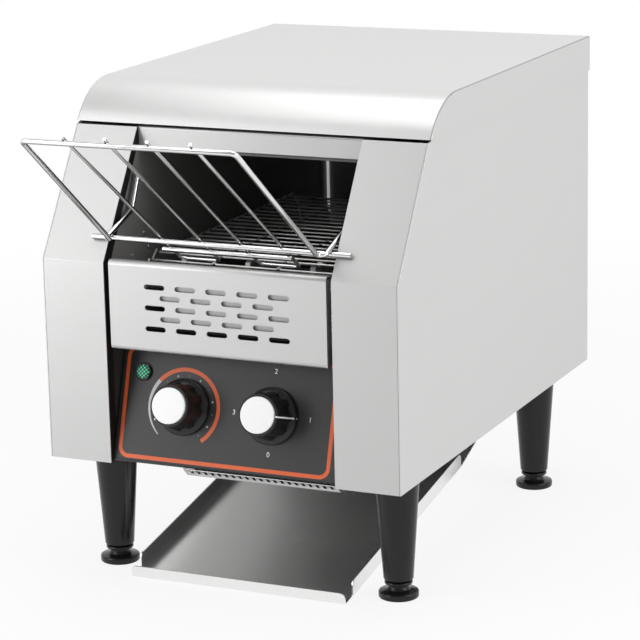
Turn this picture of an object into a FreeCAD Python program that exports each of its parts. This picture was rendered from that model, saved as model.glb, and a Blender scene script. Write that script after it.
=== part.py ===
import FreeCAD, Part
import math
import os

from FreeCAD import Placement, Rotation, Vector

# Conveyor toaster with a wire loading rack, a wire belt and a discharge tray below.
# Millimetres. X is to the right, Y goes back from the front plane of the bezels, and
# heights are measured from the bottom edge of the housing until the pieces are written.

# Housing
body_width = 288.0
body_depth = 411.0
body_height = 276.4
leg_height = 96.8
sheet = 1.0
sheet_gap = 0.2
base_sheet = 1.2

# Front outline: upright bezels that lean back above the kink
kink_height = 154.1
bezel_lean = 33.2
bezel_top_height = 246.0
mouth_width = 184.4
bezel_return = 10.0

# Top cover
cover_overhang = 1.0
cover_sheet = 0.8
cover_skirt = 28.3
cover_curve_radius = 58.5
cover_setback = 2.1
cover_edge_radius = 1.6
cover_shoulder = 5.0

# Slotted front panel
grille_gap = 4.1
grille_bottom = 89.0
grille_top = 157.5
grille_face_y = 0.3
grille_return = 8.0
grille_bend = 2.4
slot_length = 17.0
slot_width = 4.0
slot_pitch = 25.2
slot_row_pitch = 7.9
slot_rows = 5
slot_low_row = 107.0

# Inclined control panel
panel_lean = 17.0
panel_foot_y = 3.0
panel_foot_height = 0.6
panel_length = 94.0
panel_sheet = 2.0
panel_flange = 11.0
knob_height_on_panel = 46.0
colour_knob_x = -37.5
selector_knob_x = 35.0
lamp_inset = 18.5
lamp_height_on_panel = 69.4

# Knobs
skirt_radius = 21.5
skirt_height = 4.6
grip_low_radius = 18.2
grip_top_radius = 15.6
knob_height = 25.0
cap_radius = 14.1
cap_height = 2.4
cap_proud = 1.3
flute_count = 9
flute_radius = 5.2
flute_depth = 1.7
knob_lift = 0.6
spindle_radius = 3.0
spindle_length = 30.0
running_gap = 0.05

# Pilot lamp
lamp_ring_radius = 6.8
lamp_lens_radius = 5.3
lamp_body_radius = 5.6
lamp_body_length = 24.0

# Perforated pan under the controls
pan_left_x = -33.0
pan_drop = 9.8
pan_run = 11.6
pan_depth = 52.0
pan_slot_count = 21
pan_slot_pitch = 5.7
pan_slot_width = 2.9
pan_slot_length = 6.5

# Header strip over the mouth
header_bottom = 231.0
header_top = 245.2
header_setback = 1.7
header_hem = 3.0

# Conveyor
belt_height = 150.0
belt_side_gap = 13.2
belt_pitch = 12.7
belt_strands = 48
belt_teeth = 12
belt_wire = 1.6
belt_kink_depth = 4.6
belt_kink_half_width = 2.2
belt_hook_gap = 0.35
idler_y = 64.0
shaft_radius = 5.0
sprocket_width = 4.0
sprocket_places = (-53.0, 0.0, 53.0)
sprocket_gap = 0.3
tooth_proud = 1.2
bushing_radius = 8.0
bushing_flange = 4.0

# Chain drive in the right-hand compartment
chain_pitch = 9.525
chain_links = 34
motor_teeth = 9
drive_teeth = 18
chain_plane_x = 102.0
chain_width = 6.0
chain_height = 6.0
chain_bar = 4.0
chain_sprocket_width = 2.4
chain_window = 3.2
motor_direction = 232.0
motor_plate = 58.0
motor_plate_thickness = 12.0
motor_can_radius = 26.0
motor_can_length = 19.0
motor_face_x = 109.0
motor_shaft_radius = 4.0
standoff_radius = 3.5
standoff_spacing = 46.0

# Heating elements
element_radius = 4.0
element_overrun = 8.0
upper_element_height = 226.0
upper_element_places = (105.0, 175.0, 245.0, 315.0)
lower_element_places = (112.0, 178.0, 244.0)
terminal_radius = 5.5
terminal_length = 10.0
reflector_height = 248.0

# Inner walls and the shaft where toast drops
wall_front_y = 4.0
wall_back_y = 404.0
wall_top = 264.0
shield_gap = 8.5
shield_lip_gap = 2.0
shield_lip_run = 6.0
shield_lip_rise = 3.0
drop_gap = 4.2
chamber_back_flange = 11.0
chamber_back_drop = 12.0
lower_element_lift = 1.0

# Loading rack of bent wire
rack_wire_radius = 2.0
thin_wire_radius = 1.3
rack_side_gap = 8.7
rack_taper = 2.2
rack_top_y = -125.4
rack_top_height = 267.4
rack_rod_overlap = 12.4
rack_rod_height = 171.9
rack_arm_gap = 3.7
rack_arm_kink_setback = 18.7
rack_arm_kink_height = 186.7
rack_arm_start_lead = 8.4
rack_side_end_lead = 12.4
rack_pivot_setback = 14.0
rack_pivot_height = 212.5
rack_bend = 3.6
thin_wire_places = (-49.0, -16.2, 16.2, 49.0)
thin_wire_end_y = 42.0
thin_wire_tip = 0.8
cross_bar_y = 21.0
cross_bar_half_length = 52.5
rest_gap = 0.3

# Discharge tray
tray_side_gap = 2.8
tray_lip_y = 20.8
tray_lip_height = 9.4
tray_lip_lean = 2.0
tray_slope = 9.65
tray_flange = 10.9
tray_flange_start_y = 34.5
tray_corner_radius = 4.5
tray_bend_y = 257.0
tray_back_y = 402.0
tray_ramp_slope = 20.0
ledge_depth = 16.0

# Legs and levelling feet
leg_inset = 26.0
leg_front_y = 54.4
leg_rear_y = 349.2
leg_top_radius = 17.0
leg_low_radius = 11.3
leg_low_height = 14.5
leg_neck_radius = 8.6
foot_ring_height = 10.4
foot_ring_radius = 10.6
foot_ring_thickness = 2.6
foot_radius = 15.2
foot_thickness = 5.0
foot_edge = 1.5
foot_stem_radius = 4.0
foot_stem_length = 24.0

# Cooling fan
fan_size = 80.0
fan_depth = 25.0
fan_x = 20.0
fan_y = 170.0
fan_bore_radius = 37.5
fan_hub_radius = 17.0
fan_blades = 7
fan_blade_gap = 1.2

# Cord gland in the rear panel
gland_x = 112.0
gland_height = 34.0
gland_bore_radius = 4.2
gland_thread_radius = 7.8
gland_collar_radius = 11.0
gland_stand_out = 9.0
gland_inner_length = 12.0
gland_nut_thickness = 4.0

# Sizes worked out from the ones above
half_body = body_width / 2.0
half_mouth = mouth_width / 2.0
lean_run = math.tan(math.radians(bezel_lean))
bezel_top_y = (bezel_top_height - kink_height) * lean_run
wall_x = half_mouth + sheet
wall_outer_x = wall_x + sheet
cover_front_y = bezel_top_y + cover_setback
header_face_y = bezel_top_y + header_setback
lamp_x = lamp_inset - half_mouth
pan_right_x = half_mouth - sheet_gap
belt_half_width = wall_x - belt_side_gap
belt_radius = belt_teeth * belt_pitch / (2.0 * math.pi)
shaft_height = belt_height - belt_radius
drive_y = idler_y + (belt_strands - belt_teeth) / 2.0 * belt_pitch
lower_element_height = shaft_height + lower_element_lift
panel_top_y = panel_foot_y + panel_length * math.sin(math.radians(panel_lean))
panel_top_height = panel_foot_height + panel_length * math.cos(math.radians(panel_lean))
shield_front_y = panel_top_y + panel_flange + shield_lip_gap
shield_height = shaft_height - belt_radius - shield_gap
drop_front_y = drive_y + belt_radius + drop_gap
rack_half_width = half_mouth - rack_side_gap
rack_top_half_width = rack_half_width - rack_taper
rack_arm_half_width = half_mouth - rack_arm_gap
rack_rod_half_length = half_mouth + rack_rod_overlap
rack_arm_kink_y = (rack_arm_kink_height - kink_height) * lean_run + rack_arm_kink_setback
rack_pivot_y = (rack_pivot_height - kink_height) * lean_run + rack_pivot_setback
tray_half_width = half_mouth - tray_side_gap
tray_floor_at_lip = rest_gap - leg_height
leg_x = half_body - leg_inset


def y_on_bezel(height):
    """Front surface of a bezel at a height."""
    return max(0.0, (height - kink_height) * lean_run)


def box(x0, x1, y0, y1, z0, z1):
    """A block between two corners."""
    return Part.makeBox(x1 - x0, y1 - y0, z1 - z0, Vector(x0, y0, z0))


def rod(radius, start, end):
    """A round bar between two points."""
    axis = end - start
    return Part.makeCylinder(radius, axis.Length, start, axis)


def fuse_all(shapes):
    """One solid from shapes that touch or overlap."""
    if len(shapes) == 1:
        return shapes[0]
    return shapes[0].multiFuse(shapes[1:]).removeSplitter()


def cut_all(shape, cutters):
    """A shape less all of the cutters."""
    return shape.cut(Part.makeCompound(cutters)) if cutters else shape


def rounded_corners(shape, radius, wanted):
    """Rounds the short edges through the sheet whose ends are all at wanted places."""
    edges = [edge for edge in shape.Edges
             if edge.Length < 2.0 * sheet and all(wanted(v.Point) for v in edge.Vertexes)]
    return shape.makeFillet(radius, edges)


def prism_x(outline, x0, x1):
    """A closed outline of (y, z) points, drawn out along X."""
    points = [Vector(x0, y, z) for y, z in outline]
    face = Part.Face(Part.makePolygon(points + points[:1]))
    return face.extrude(Vector(x1 - x0, 0, 0))


def prism_z(outline, z0, z1):
    """A closed outline of (x, y) points, drawn out upwards."""
    points = [Vector(x, y, z0) for x, y in outline]
    face = Part.Face(Part.makePolygon(points + points[:1]))
    return face.extrude(Vector(0, 0, z1 - z0))


def revolve_z(outline, x=0.0, y=0.0):
    """A closed outline of (radius, z) points, turned about an upright axis."""
    points = [Vector(r, 0, z) for r, z in outline]
    face = Part.Face(Part.makePolygon(points + points[:1]))
    solid = face.revolve(Vector(0, 0, 0), Vector(0, 0, 1), 360)
    solid.translate(Vector(x, y, 0))
    return solid


def corner(before, point, after, radius):
    """Where an arc of a radius leaves and meets the two runs at a corner, and its middle."""
    into = (point - before).normalize()
    out = (after - point).normalize()
    turn = into.getAngle(out)
    reach = radius * math.tan(turn / 2.0)
    first = point - into * reach
    last = point + out * reach
    inward = (out - into).normalize()
    centre = point + inward * (radius / math.cos(turn / 2.0))
    middle = centre - inward * radius
    return first, middle, last, centre


def bent_rod(points, radius, bend):
    """Round wire along straight runs that are joined by arcs."""
    points = [Vector(*p) for p in points]
    pieces = []
    start = points[0]
    for i in range(1, len(points) - 1):
        first, _, last, centre = corner(points[i - 1], points[i], points[i + 1], bend)
        into = points[i] - points[i - 1]
        out = points[i + 1] - points[i]
        section = Part.Face(Part.Wire([Part.makeCircle(radius, first, into)]))
        turn = math.degrees(into.getAngle(out))
        pieces.append(rod(radius, start, first))
        pieces.append(section.revolve(centre, into.cross(out), turn))
        start = last
    pieces.append(rod(radius, start, points[-1]))
    return fuse_all(pieces)


def bent_sheet(outline, thickness, bend, x0, x1):
    """Sheet that follows (y, z) points with round bends, thickened to the left of the way
    that the points go, and drawn out along X."""
    points = [Vector(x0, y, z) for y, z in outline]
    across = Vector(1, 0, 0)
    right_side = []
    left_side = []

    def left(direction):
        return across.cross(direction).normalize() * thickness

    start = points[0]
    left_start = start + left(points[1] - points[0])
    for i in range(1, len(points) - 1):
        into = points[i] - points[i - 1]
        out = points[i + 1] - points[i]
        turns_left = across.dot(into.cross(out)) > 0
        radius = bend + thickness if turns_left else bend
        first, middle, last, centre = corner(points[i - 1], points[i], points[i + 1], radius)
        right_side.append(Part.makeLine(start, first))
        right_side.append(Part.Arc(first, middle, last).toShape())
        ray = (middle - centre).normalize()
        left_radius = bend if turns_left else bend + thickness
        left_first = first + left(into)
        left_last = last + left(out)
        left_side.append(Part.makeLine(left_start, left_first))
        left_side.append(Part.Arc(left_first, centre + ray * left_radius, left_last).toShape())
        start = last
        left_start = left_last
    end = points[-1]
    left_end = end + left(points[-1] - points[-2])
    right_side.append(Part.makeLine(start, end))
    left_side.append(Part.makeLine(left_start, left_end))
    closing = [Part.makeLine(end, left_end)]
    opening = [Part.makeLine(points[0], points[0] + left(points[1] - points[0]))]
    edges = Part.__sortEdges__(right_side + closing + left_side + opening)
    face = Part.Face(Part.Wire(edges))
    return face.extrude(Vector(x1 - x0, 0, 0))


def round_slot(length, width, depth):
    """Cutter for a slot with ends rounded in four steps, long in X and deep in Y."""
    reach = length / 2.0 - width / 2.0
    outline = []
    for side in (1, -1):
        for step in range(5):
            angle = side * math.pi / 2.0 - step * math.pi / 4.0
            outline.append(Vector(side * reach + width / 2.0 * math.cos(angle), -depth,
                                  width / 2.0 * math.sin(angle)))
    return Part.Face(Part.makePolygon(outline + outline[:1])).extrude(Vector(0, 2.0 * depth, 0))


def hexagon_rod(radius, start, end):
    """A six-sided bar along X between two points."""
    outline = [(start.y + radius * math.cos(math.radians(60.0 * i)),
                start.z + radius * math.sin(math.radians(60.0 * i))) for i in range(6)]
    low, high = sorted((start.x, end.x))
    return prism_x(outline, low, high)


def moved(shape, x=0.0, y=0.0, z=0.0):
    """A copy of a shape, moved."""
    copy = shape.copy()
    copy.translate(Vector(x, y, z))
    return copy


def mirrored(shape):
    """The same shape on the other side of the toaster."""
    return shape.mirror(Vector(0, 0, 0), Vector(1, 0, 0))


def on_panel(shape, x, along):
    """Stands a shape that points up Z on the face of the control panel."""
    lean = math.radians(panel_lean)
    place = Vector(x, panel_foot_y + along * math.sin(lean),
                   panel_foot_height + along * math.cos(lean))
    copy = shape.copy()
    copy.Placement = Placement(place, Rotation(Vector(1, 0, 0), 90.0 - panel_lean))
    return copy


# Housing

def top_cover():
    """Pressed cover: curved front, flat top, and a skirt on the sides and back."""
    half = half_body + cover_overhang
    back_y = body_depth + cover_overhang
    skirt_height = body_height - cover_skirt

    def hood(inset):
        radius = cover_curve_radius - inset
        centre_y = cover_front_y + math.sqrt(
            cover_curve_radius ** 2 - (cover_curve_radius - cover_skirt) ** 2)
        centre_z = body_height - cover_curve_radius
        foot = skirt_height - (5.0 if inset else 0.0)
        drop = centre_z - skirt_height
        front_y = centre_y - math.sqrt(radius ** 2 - drop ** 2)
        sweep = math.atan2(skirt_height - centre_z, front_y - centre_y)
        half_way = (sweep + math.pi / 2.0) / 2.0
        front = Vector(-half + inset, front_y, skirt_height)
        middle = Vector(-half + inset, centre_y + radius * math.cos(half_way),
                        centre_z + radius * math.sin(half_way))
        top = Vector(-half + inset, centre_y, body_height - inset)
        back = Vector(-half + inset, back_y - inset, body_height - inset)
        back_low = Vector(-half + inset, back_y - inset, foot)
        front_low = Vector(-half + inset, front_y, foot)
        edges = [Part.Arc(front, middle, top).toShape(), Part.makeLine(top, back),
                 Part.makeLine(back, back_low), Part.makeLine(back_low, front_low)]
        if inset:
            edges.append(Part.makeLine(front_low, front))
        face = Part.Face(Part.Wire(Part.__sortEdges__(edges)))
        return face.extrude(Vector(2.0 * (half - inset), 0, 0))

    outer = hood(0.0)
    top_edges = [e for e in outer.Edges
                 if abs(abs(e.CenterOfMass.x) - half) < 0.01
                 and e.CenterOfMass.z > skirt_height + 2.0
                 and e.BoundBox.YLength > 5.0]
    outer = outer.makeFillet(cover_edge_radius, top_edges)
    return outer.cut(hood(cover_sheet))


def side_outline(front_y, inset, top, bottom, back):
    """Outline of an upright plate that follows the front of the housing."""
    kink = kink_height - inset * math.tan(math.radians(bezel_lean) / 2.0)
    top_y = front_y + (bezel_top_height - kink) * lean_run
    shoulder_y = top_y + cover_shoulder
    shoulder = bezel_top_height + 1.2
    points = [(front_y, bottom), (front_y, kink), (top_y, bezel_top_height),
              (shoulder_y, shoulder), (shoulder_y + top - shoulder, top)]
    points.extend([(back, top), (back, bottom)])
    return points


def side_panel():
    """Right-hand side: a flat sheet with flanges folded in at the bottom and back."""
    under_cover = body_height - cover_sheet - 13.6
    inner_x = half_body - sheet
    plate = prism_x(side_outline(0.0, 0.0, under_cover, 0.0, body_depth), inner_x, half_body)
    flange = 12.0
    foot = box(half_body - flange, inner_x + 0.2, 12.0, body_depth - sheet, 0.0, sheet)
    back = box(half_body - flange, inner_x + 0.2, body_depth - 2.2 * sheet,
               body_depth - 1.2 * sheet, sheet + base_sheet, under_cover - 4.0)
    return fuse_all([plate, foot, back])


def bezel():
    """Right-hand bezel: a folded face with a return into the mouth and one at the side."""
    outer_x = half_body - sheet - sheet_gap
    front = [(0.0, 0.0), (0.0, kink_height), (bezel_top_y, bezel_top_height)]
    normal_y = sheet / math.cos(math.radians(bezel_lean))
    kink_inside = kink_height - sheet * math.tan(math.radians(bezel_lean) / 2.0)
    back = [(bezel_top_y + normal_y, bezel_top_height), (sheet, kink_inside), (sheet, 0.0)]
    face = prism_x(front + back, half_mouth, outer_x)
    deep = [(bezel_return, 0.0), (bezel_return, kink_height - 4.0),
            (bezel_top_y + bezel_return - 1.5, bezel_top_height)]
    lip = prism_x(front + deep[::-1], half_mouth, half_mouth + sheet - sheet_gap)
    tab = prism_x(front + deep[::-1], outer_x - sheet, outer_x)
    foot = box(half_mouth, outer_x, 0.0, bezel_return, 0.0, sheet)
    return fuse_all([face, lip, tab, foot])


def rear_panel():
    """Rear sheet with cooling slots on both sides of the drop shaft and a hole for the cord."""
    half = half_body - sheet - sheet_gap
    plate = box(-half, half, body_depth - sheet, body_depth, 0.0, body_height - 6.0)
    cutters = [rod(gland_thread_radius + 0.1, Vector(gland_x, body_depth - 5.0, gland_height),
                   Vector(gland_x, body_depth + 5.0, gland_height))]
    slot = box(-2.0, 2.0, body_depth - 5.0, body_depth + 5.0, -22.0, 22.0)
    for side in (-1, 1):
        for i in range(5):
            cutters.append(moved(slot, side * (102.0 + 8.0 * i), 0.0, 170.0))
    return cut_all(plate, cutters)


def base_plate():
    """Bottom sheet with the drop opening, the fan inlet and the holes for the legs."""
    half = half_body - sheet - sheet_gap
    plate = box(-half, half, 14.0, body_depth - sheet - sheet_gap, sheet, sheet + base_sheet)
    opening = box(-wall_x, wall_x, drop_front_y, wall_back_y, -5.0, 5.0)
    cutters = [opening]
    pitch = 8.0
    for i in range(-4, 5):
        half_chord = math.sqrt((fan_bore_radius - 2.0) ** 2 - (i * pitch) ** 2)
        cutters.append(box(fan_x - half_chord, fan_x + half_chord, fan_y + i * pitch - 2.2,
                           fan_y + i * pitch + 2.2, -5.0, 5.0))
    cutters.append(box(pan_left_x + 8.0, pan_right_x - 14.0, 22.0, pan_depth - 6.0, -5.0, 5.0))
    return cut_all(plate, cutters)


def inner_wall(right):
    """Upright wall of the toasting chamber, with the holes for shafts and elements."""
    outline = side_outline(wall_front_y, wall_front_y, wall_top - 12.0, sheet + base_sheet,
                           wall_back_y)
    plate = prism_x(outline, wall_x, wall_outer_x)

    def hole(radius, y, z):
        return rod(radius, Vector(wall_x - 5.0, y, z), Vector(wall_outer_x + 5.0, y, z))

    cutters = [hole(bushing_radius, y, shaft_height) for y in (idler_y, drive_y)]
    rows = [(y, upper_element_height) for y in upper_element_places]
    rows += [(y, lower_element_height) for y in lower_element_places]
    for y, z in rows:
        cutters.append(hexagon_rod(element_radius * 1.25, Vector(wall_x - 5.0, y, z),
                                   Vector(wall_outer_x + 5.0, y, z)))
    cutters.append(hole(rack_wire_radius + running_gap, rack_pivot_y, rack_pivot_height))
    if right:
        motor_y, motor_z = motor_place()
        for dy in (-1, 1):
            for dz in (-1, 1):
                cutters.append(hole(1.6, motor_y + dy * standoff_spacing / 2.0,
                                    motor_z + dz * standoff_spacing / 2.0))
        return cut_all(plate, cutters)
    return mirrored(cut_all(plate, cutters))


def mouth_header():
    """Folded strip that closes the top of the mouth, with a darker hem set back below it."""
    half = half_mouth - sheet_gap
    face = bent_sheet([(header_face_y + header_hem + sheet, header_bottom - header_hem),
                       (header_face_y + header_hem + sheet, header_bottom),
                       (header_face_y + sheet, header_bottom),
                       (header_face_y + sheet, header_top),
                       (header_face_y + 22.0, header_top)],
                      sheet, 0.4, -half, half)
    tab = box(half, wall_x - sheet_gap, header_face_y + bezel_return, header_face_y + 20.0,
              header_bottom + 2.0, header_top + sheet)
    return fuse_all([face, tab, mirrored(tab)])


def upper_reflector():
    """Bright sheet over the upper elements, folded down at the front and back."""
    half = wall_x - sheet_gap
    return bent_sheet([(wall_back_y - 14.0, reflector_height - 14.0),
                       (wall_back_y - 24.0, reflector_height),
                       (header_face_y + 32.0, reflector_height),
                       (header_face_y + 24.0, reflector_height - 8.0)],
                      sheet, 3.0, -half, half)


def heat_shield():
    """Plate under the belt that turns down in front of the drop shaft."""
    half = wall_x - sheet_gap
    return bent_sheet([(drop_front_y, sheet + base_sheet), (drop_front_y, shield_height),
                       (shield_front_y + shield_lip_run, shield_height),
                       (shield_front_y, shield_height + shield_lip_rise)],
                      sheet, 3.0, -half, half)


def chamber_back():
    """Rear wall of the chamber, with flanges folded forward along the inner walls."""
    half = wall_x - sheet_gap
    bottom = sheet + base_sheet
    top = wall_top - chamber_back_drop
    plate = box(-half, half, wall_back_y - sheet, wall_back_y, bottom, top)
    flange = box(half - sheet, half, wall_back_y - chamber_back_flange, wall_back_y, bottom, top)
    return fuse_all([plate, flange, mirrored(flange)])


def front_grille():
    """Slotted front panel with folded edges."""
    half = half_mouth - grille_gap
    deep = grille_return
    face = bent_sheet([(grille_face_y + deep + 3.0, grille_top - 2.0),
                       (grille_face_y, grille_top),
                       (grille_face_y, grille_bottom),
                       (grille_face_y + deep, grille_bottom)],
                      sheet, grille_bend, -half, half)
    low = grille_bottom + sheet + 0.2
    high = grille_top - sheet - 2.4
    returns = [box(s * half - 0.5 * (1 + s) * sheet, s * half + 0.5 * (1 - s) * sheet,
                   grille_face_y + 0.5 * sheet, grille_face_y + deep, low, high)
               for s in (-1, 1)]
    panel = fuse_all([face] + returns)
    slot = round_slot(slot_length, slot_width, 3.0)
    cutters = []
    for row in range(slot_rows):
        count = 5 if row % 2 == 0 else 4
        for i in range(count):
            cutters.append(moved(slot, (i - (count - 1) / 2.0) * slot_pitch, grille_face_y,
                                 slot_low_row + row * slot_row_pitch))
    return cut_all(panel, cutters)


def grille_brackets():
    """Two small angles that hold the slotted panel to the inner walls."""
    inner = half_mouth - grille_gap - sheet - sheet_gap
    pieces = []
    for height in (grille_bottom + 12.0, grille_top - 24.0):
        tab = box(inner - sheet, inner, grille_face_y + 2.4, 22.0, height, height + 10.0)
        foot = box(inner - sheet, wall_x - 0.1, 21.0, 22.0, height, height + 10.0)
        pieces.append(fuse_all([tab, foot]))
    return pieces + [mirrored(p) for p in pieces]


# Controls

def control_panel():
    """Inclined dark panel with holes for two spindles and the lamp."""
    half = half_mouth - 0.6
    panel = bent_sheet([(panel_top_y + panel_flange, panel_top_height - 3.0),
                        (panel_top_y, panel_top_height),
                        (panel_foot_y, panel_foot_height),
                        (panel_foot_y + panel_flange, panel_foot_height)],
                       panel_sheet, 0.8, -half, half)
    cutters = [on_panel(Part.makeCylinder(spindle_radius + 1.0, 20.0, Vector(0, 0, -10.0)), x,
                        knob_height_on_panel) for x in (colour_knob_x, selector_knob_x)]
    cutters.append(on_panel(Part.makeCylinder(lamp_body_radius + running_gap, 20.0,
                                              Vector(0, 0, -10.0)),
                            lamp_x, lamp_height_on_panel))
    return cut_all(panel, cutters)


def knob_body():
    """Knob with a round skirt and a tapered, fluted grip, open at the top for its cap."""
    body = revolve_z([(0.0, knob_lift), (skirt_radius, knob_lift),
                      (skirt_radius, knob_lift + 1.6), (skirt_radius - 2.4, skirt_height),
                      (grip_low_radius, skirt_height + 0.6),
                      (grip_top_radius, knob_height - 0.8),
                      (grip_top_radius - 0.8, knob_height), (0.0, knob_height)])
    taper = math.degrees(math.atan2(grip_low_radius - grip_top_radius,
                                    knob_height - skirt_height))
    cutters = []
    for i in range(flute_count):
        flute = Part.makeCylinder(flute_radius, knob_height,
                                  Vector(grip_low_radius + flute_radius - flute_depth, 0,
                                         skirt_height + 0.4))
        flute.rotate(Vector(grip_low_radius, 0, skirt_height), Vector(0, 1, 0), -taper)
        flute.rotate(Vector(0, 0, 0), Vector(0, 0, 1), (i + 0.5) * 360.0 / flute_count)
        cutters.append(flute)
    seat = Part.makeCylinder(cap_radius + running_gap, cap_height,
                             Vector(0, 0, knob_height - cap_height + cap_proud))
    bore = Part.makeCylinder(spindle_radius + 0.02, spindle_length / 2.0, Vector(0, 0, 0))
    return cut_all(body, cutters + [seat, bore])


def knob_cap():
    """Round insert with a soft edge, proud of the grip."""
    low = knob_height - cap_height + cap_proud
    return revolve_z([(0.0, low), (cap_radius, low), (cap_radius, low + cap_height - 0.6),
                      (cap_radius - 0.6, low + cap_height), (0.0, low + cap_height)])


def spindle():
    """Control shaft with a flat, from inside the control to inside the knob."""
    length = spindle_length + spindle_length / 2.0 - 1.0
    shaft = Part.makeCylinder(spindle_radius, length, Vector(0, 0, -spindle_length))
    return shaft.cut(box(-5.0, 5.0, spindle_radius - 0.6, 6.0, 2.0, 30.0))


def rotary_switch():
    """Selector switch: a cam block behind the panel with its threaded collar."""
    block = box(-16.0, 16.0, -16.0, 16.0, -panel_sheet - 30.0, -panel_sheet - 0.1)
    terminals = [box(s * 10.0 - 3.0, s * 10.0 + 3.0, -0.4, 0.4, -panel_sheet - 38.0,
                     -panel_sheet - 30.0) for s in (-1, 1)]
    collar = Part.makeCylinder(spindle_radius + 0.9, panel_sheet + 0.3,
                               Vector(0, 0, -panel_sheet - 0.1))
    bore = Part.makeCylinder(spindle_radius + running_gap, 40.0, Vector(0, 0, -35.0))
    bore = bore.cut(box(-9.0, 9.0, -9.0, 9.0, -60.0, -spindle_length - 0.3))
    return cut_all(fuse_all([block, collar] + terminals), [bore])


def speed_control():
    """Colour control: a round potentiometer on a small circuit board."""
    can = Part.makeCylinder(12.0, 12.0, Vector(0, 0, -panel_sheet - 12.1))
    board = box(-22.0, 22.0, -28.0, 16.0, -panel_sheet - 13.7, -panel_sheet - 12.1)
    heat_sink = box(-20.0, 20.0, -27.0, -24.0, -panel_sheet - 34.0, -panel_sheet - 13.7)
    collar = Part.makeCylinder(spindle_radius + 0.9, panel_sheet + 0.3,
                               Vector(0, 0, -panel_sheet - 0.1))
    bore = Part.makeCylinder(spindle_radius + running_gap, 60.0, Vector(0, 0, -50.0))
    return cut_all(fuse_all([can, board, heat_sink, collar]), [bore])


def lamp_holder():
    """Bezel ring and body of the pilot lamp."""
    return revolve_z([(0.0, -lamp_body_length), (lamp_body_radius, -lamp_body_length),
                      (lamp_body_radius, running_gap), (lamp_ring_radius, running_gap),
                      (lamp_ring_radius, 1.4), (lamp_ring_radius - 0.8, 2.2),
                      (lamp_lens_radius + running_gap, 2.2),
                      (lamp_lens_radius + running_gap, -6.0), (0.0, -6.0)])


def lamp_lens():
    """Domed lens of the pilot lamp."""
    return revolve_z([(0.0, -6.0), (lamp_lens_radius, -6.0), (lamp_lens_radius, 2.0),
                      (lamp_lens_radius * 0.72, 3.6), (lamp_lens_radius * 0.35, 4.3),
                      (0.0, 4.5)])


def vent_pan():
    """Shallow pan under the controls, with a row of slots in its sloping front."""
    flange = 6.0
    pan = bent_sheet([(panel_foot_y + 0.6, -sheet - 0.3), (panel_foot_y + pan_run, -pan_drop),
                      (pan_depth - 8.0, -pan_drop), (pan_depth, -sheet),
                      (pan_depth + flange, -sheet)],
                     sheet, 0.6, pan_left_x, pan_right_x)
    slope = math.atan2(pan_drop - sheet, pan_run)
    middle_y = panel_foot_y + 0.5 * pan_run
    middle_z = -0.5 * (pan_drop + sheet)
    cutters = []
    for i in range(pan_slot_count):
        x = pan_left_x + 6.0 + i * pan_slot_pitch
        cutter = box(-pan_slot_width / 2.0, pan_slot_width / 2.0, -pan_slot_length / 2.0,
                     pan_slot_length / 2.0, -3.0, 3.0)
        cutter.rotate(Vector(0, 0, 0), Vector(1, 0, 0), -math.degrees(slope))
        cutters.append(moved(cutter, x, middle_y, middle_z))
    return cut_all(pan, cutters)


# Conveyor

def loop_places(y1, z1, r1, y2, z2, r2, count, pitch):
    """Evenly spaced places round two circles that are joined by straight runs. Each is the
    place, the way forward and the outward normal. The first is where the upper run starts."""
    reach = math.hypot(y2 - y1, z2 - z1)
    heading = math.atan2(z2 - z1, y2 - y1)
    tilt = math.asin((r1 - r2) / reach)
    run = math.sqrt(reach ** 2 - (r1 - r2) ** 2)
    upper_normal = heading + math.pi / 2.0 - tilt
    lower_normal = heading - math.pi / 2.0 + tilt
    arc2 = r2 * (math.pi - 2.0 * tilt)
    places = []
    for i in range(count):
        s = i * pitch
        if s <= run:
            start = (y1 + r1 * math.cos(upper_normal), z1 + r1 * math.sin(upper_normal))
            way = upper_normal - math.pi / 2.0
            place = (start[0] + s * math.cos(way), start[1] + s * math.sin(way))
            normal = upper_normal
        elif s <= run + arc2:
            normal = upper_normal - (s - run) / r2
            place = (y2 + r2 * math.cos(normal), z2 + r2 * math.sin(normal))
        elif s <= 2.0 * run + arc2:
            start = (y2 + r2 * math.cos(lower_normal), z2 + r2 * math.sin(lower_normal))
            way = lower_normal - math.pi / 2.0
            along = s - run - arc2
            place = (start[0] + along * math.cos(way), start[1] + along * math.sin(way))
            normal = lower_normal
        else:
            normal = lower_normal - (s - 2.0 * run - arc2) / r1
            place = (y1 + r1 * math.cos(normal), z1 + r1 * math.sin(normal))
        places.append((place, normal))
    return places


def belt_strand():
    """One strand of the wire belt in plan: it hooks towards the next one at both edges and
    kinks at a third and two thirds of the width."""
    half = belt_half_width
    hook = belt_pitch - belt_wire / 2.0 - belt_hook_gap
    third = half / 3.0
    path = [(-half, hook), (-half + 1.2, 0.0)]
    for x in (-third, third):
        path.extend([(x - belt_kink_half_width, 0.0), (x, belt_kink_depth),
                     (x + belt_kink_half_width, 0.0)])
    path.extend([(half - 1.2, 0.0), (half, hook)])
    w = belt_wire / 2.0
    forward = []
    backward = []
    for i, point in enumerate(path):
        before = path[max(i - 1, 0)]
        after = path[min(i + 1, len(path) - 1)]
        into = Vector(point[0] - before[0], point[1] - before[1], 0)
        out = Vector(after[0] - point[0], after[1] - point[1], 0)
        if into.Length == 0:
            into = out
        if out.Length == 0:
            out = into
        into.normalize()
        out.normalize()
        normal = Vector(-into.y - out.y, into.x + out.x, 0).normalize()
        reach = w / max(normal.dot(Vector(-into.y, into.x, 0)), 0.5)
        forward.append((point[0] + normal.x * reach, point[1] + normal.y * reach))
        backward.append((point[0] - normal.x * reach, point[1] - normal.y * reach))
    return prism_z(forward + backward[::-1], -w, w)


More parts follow.
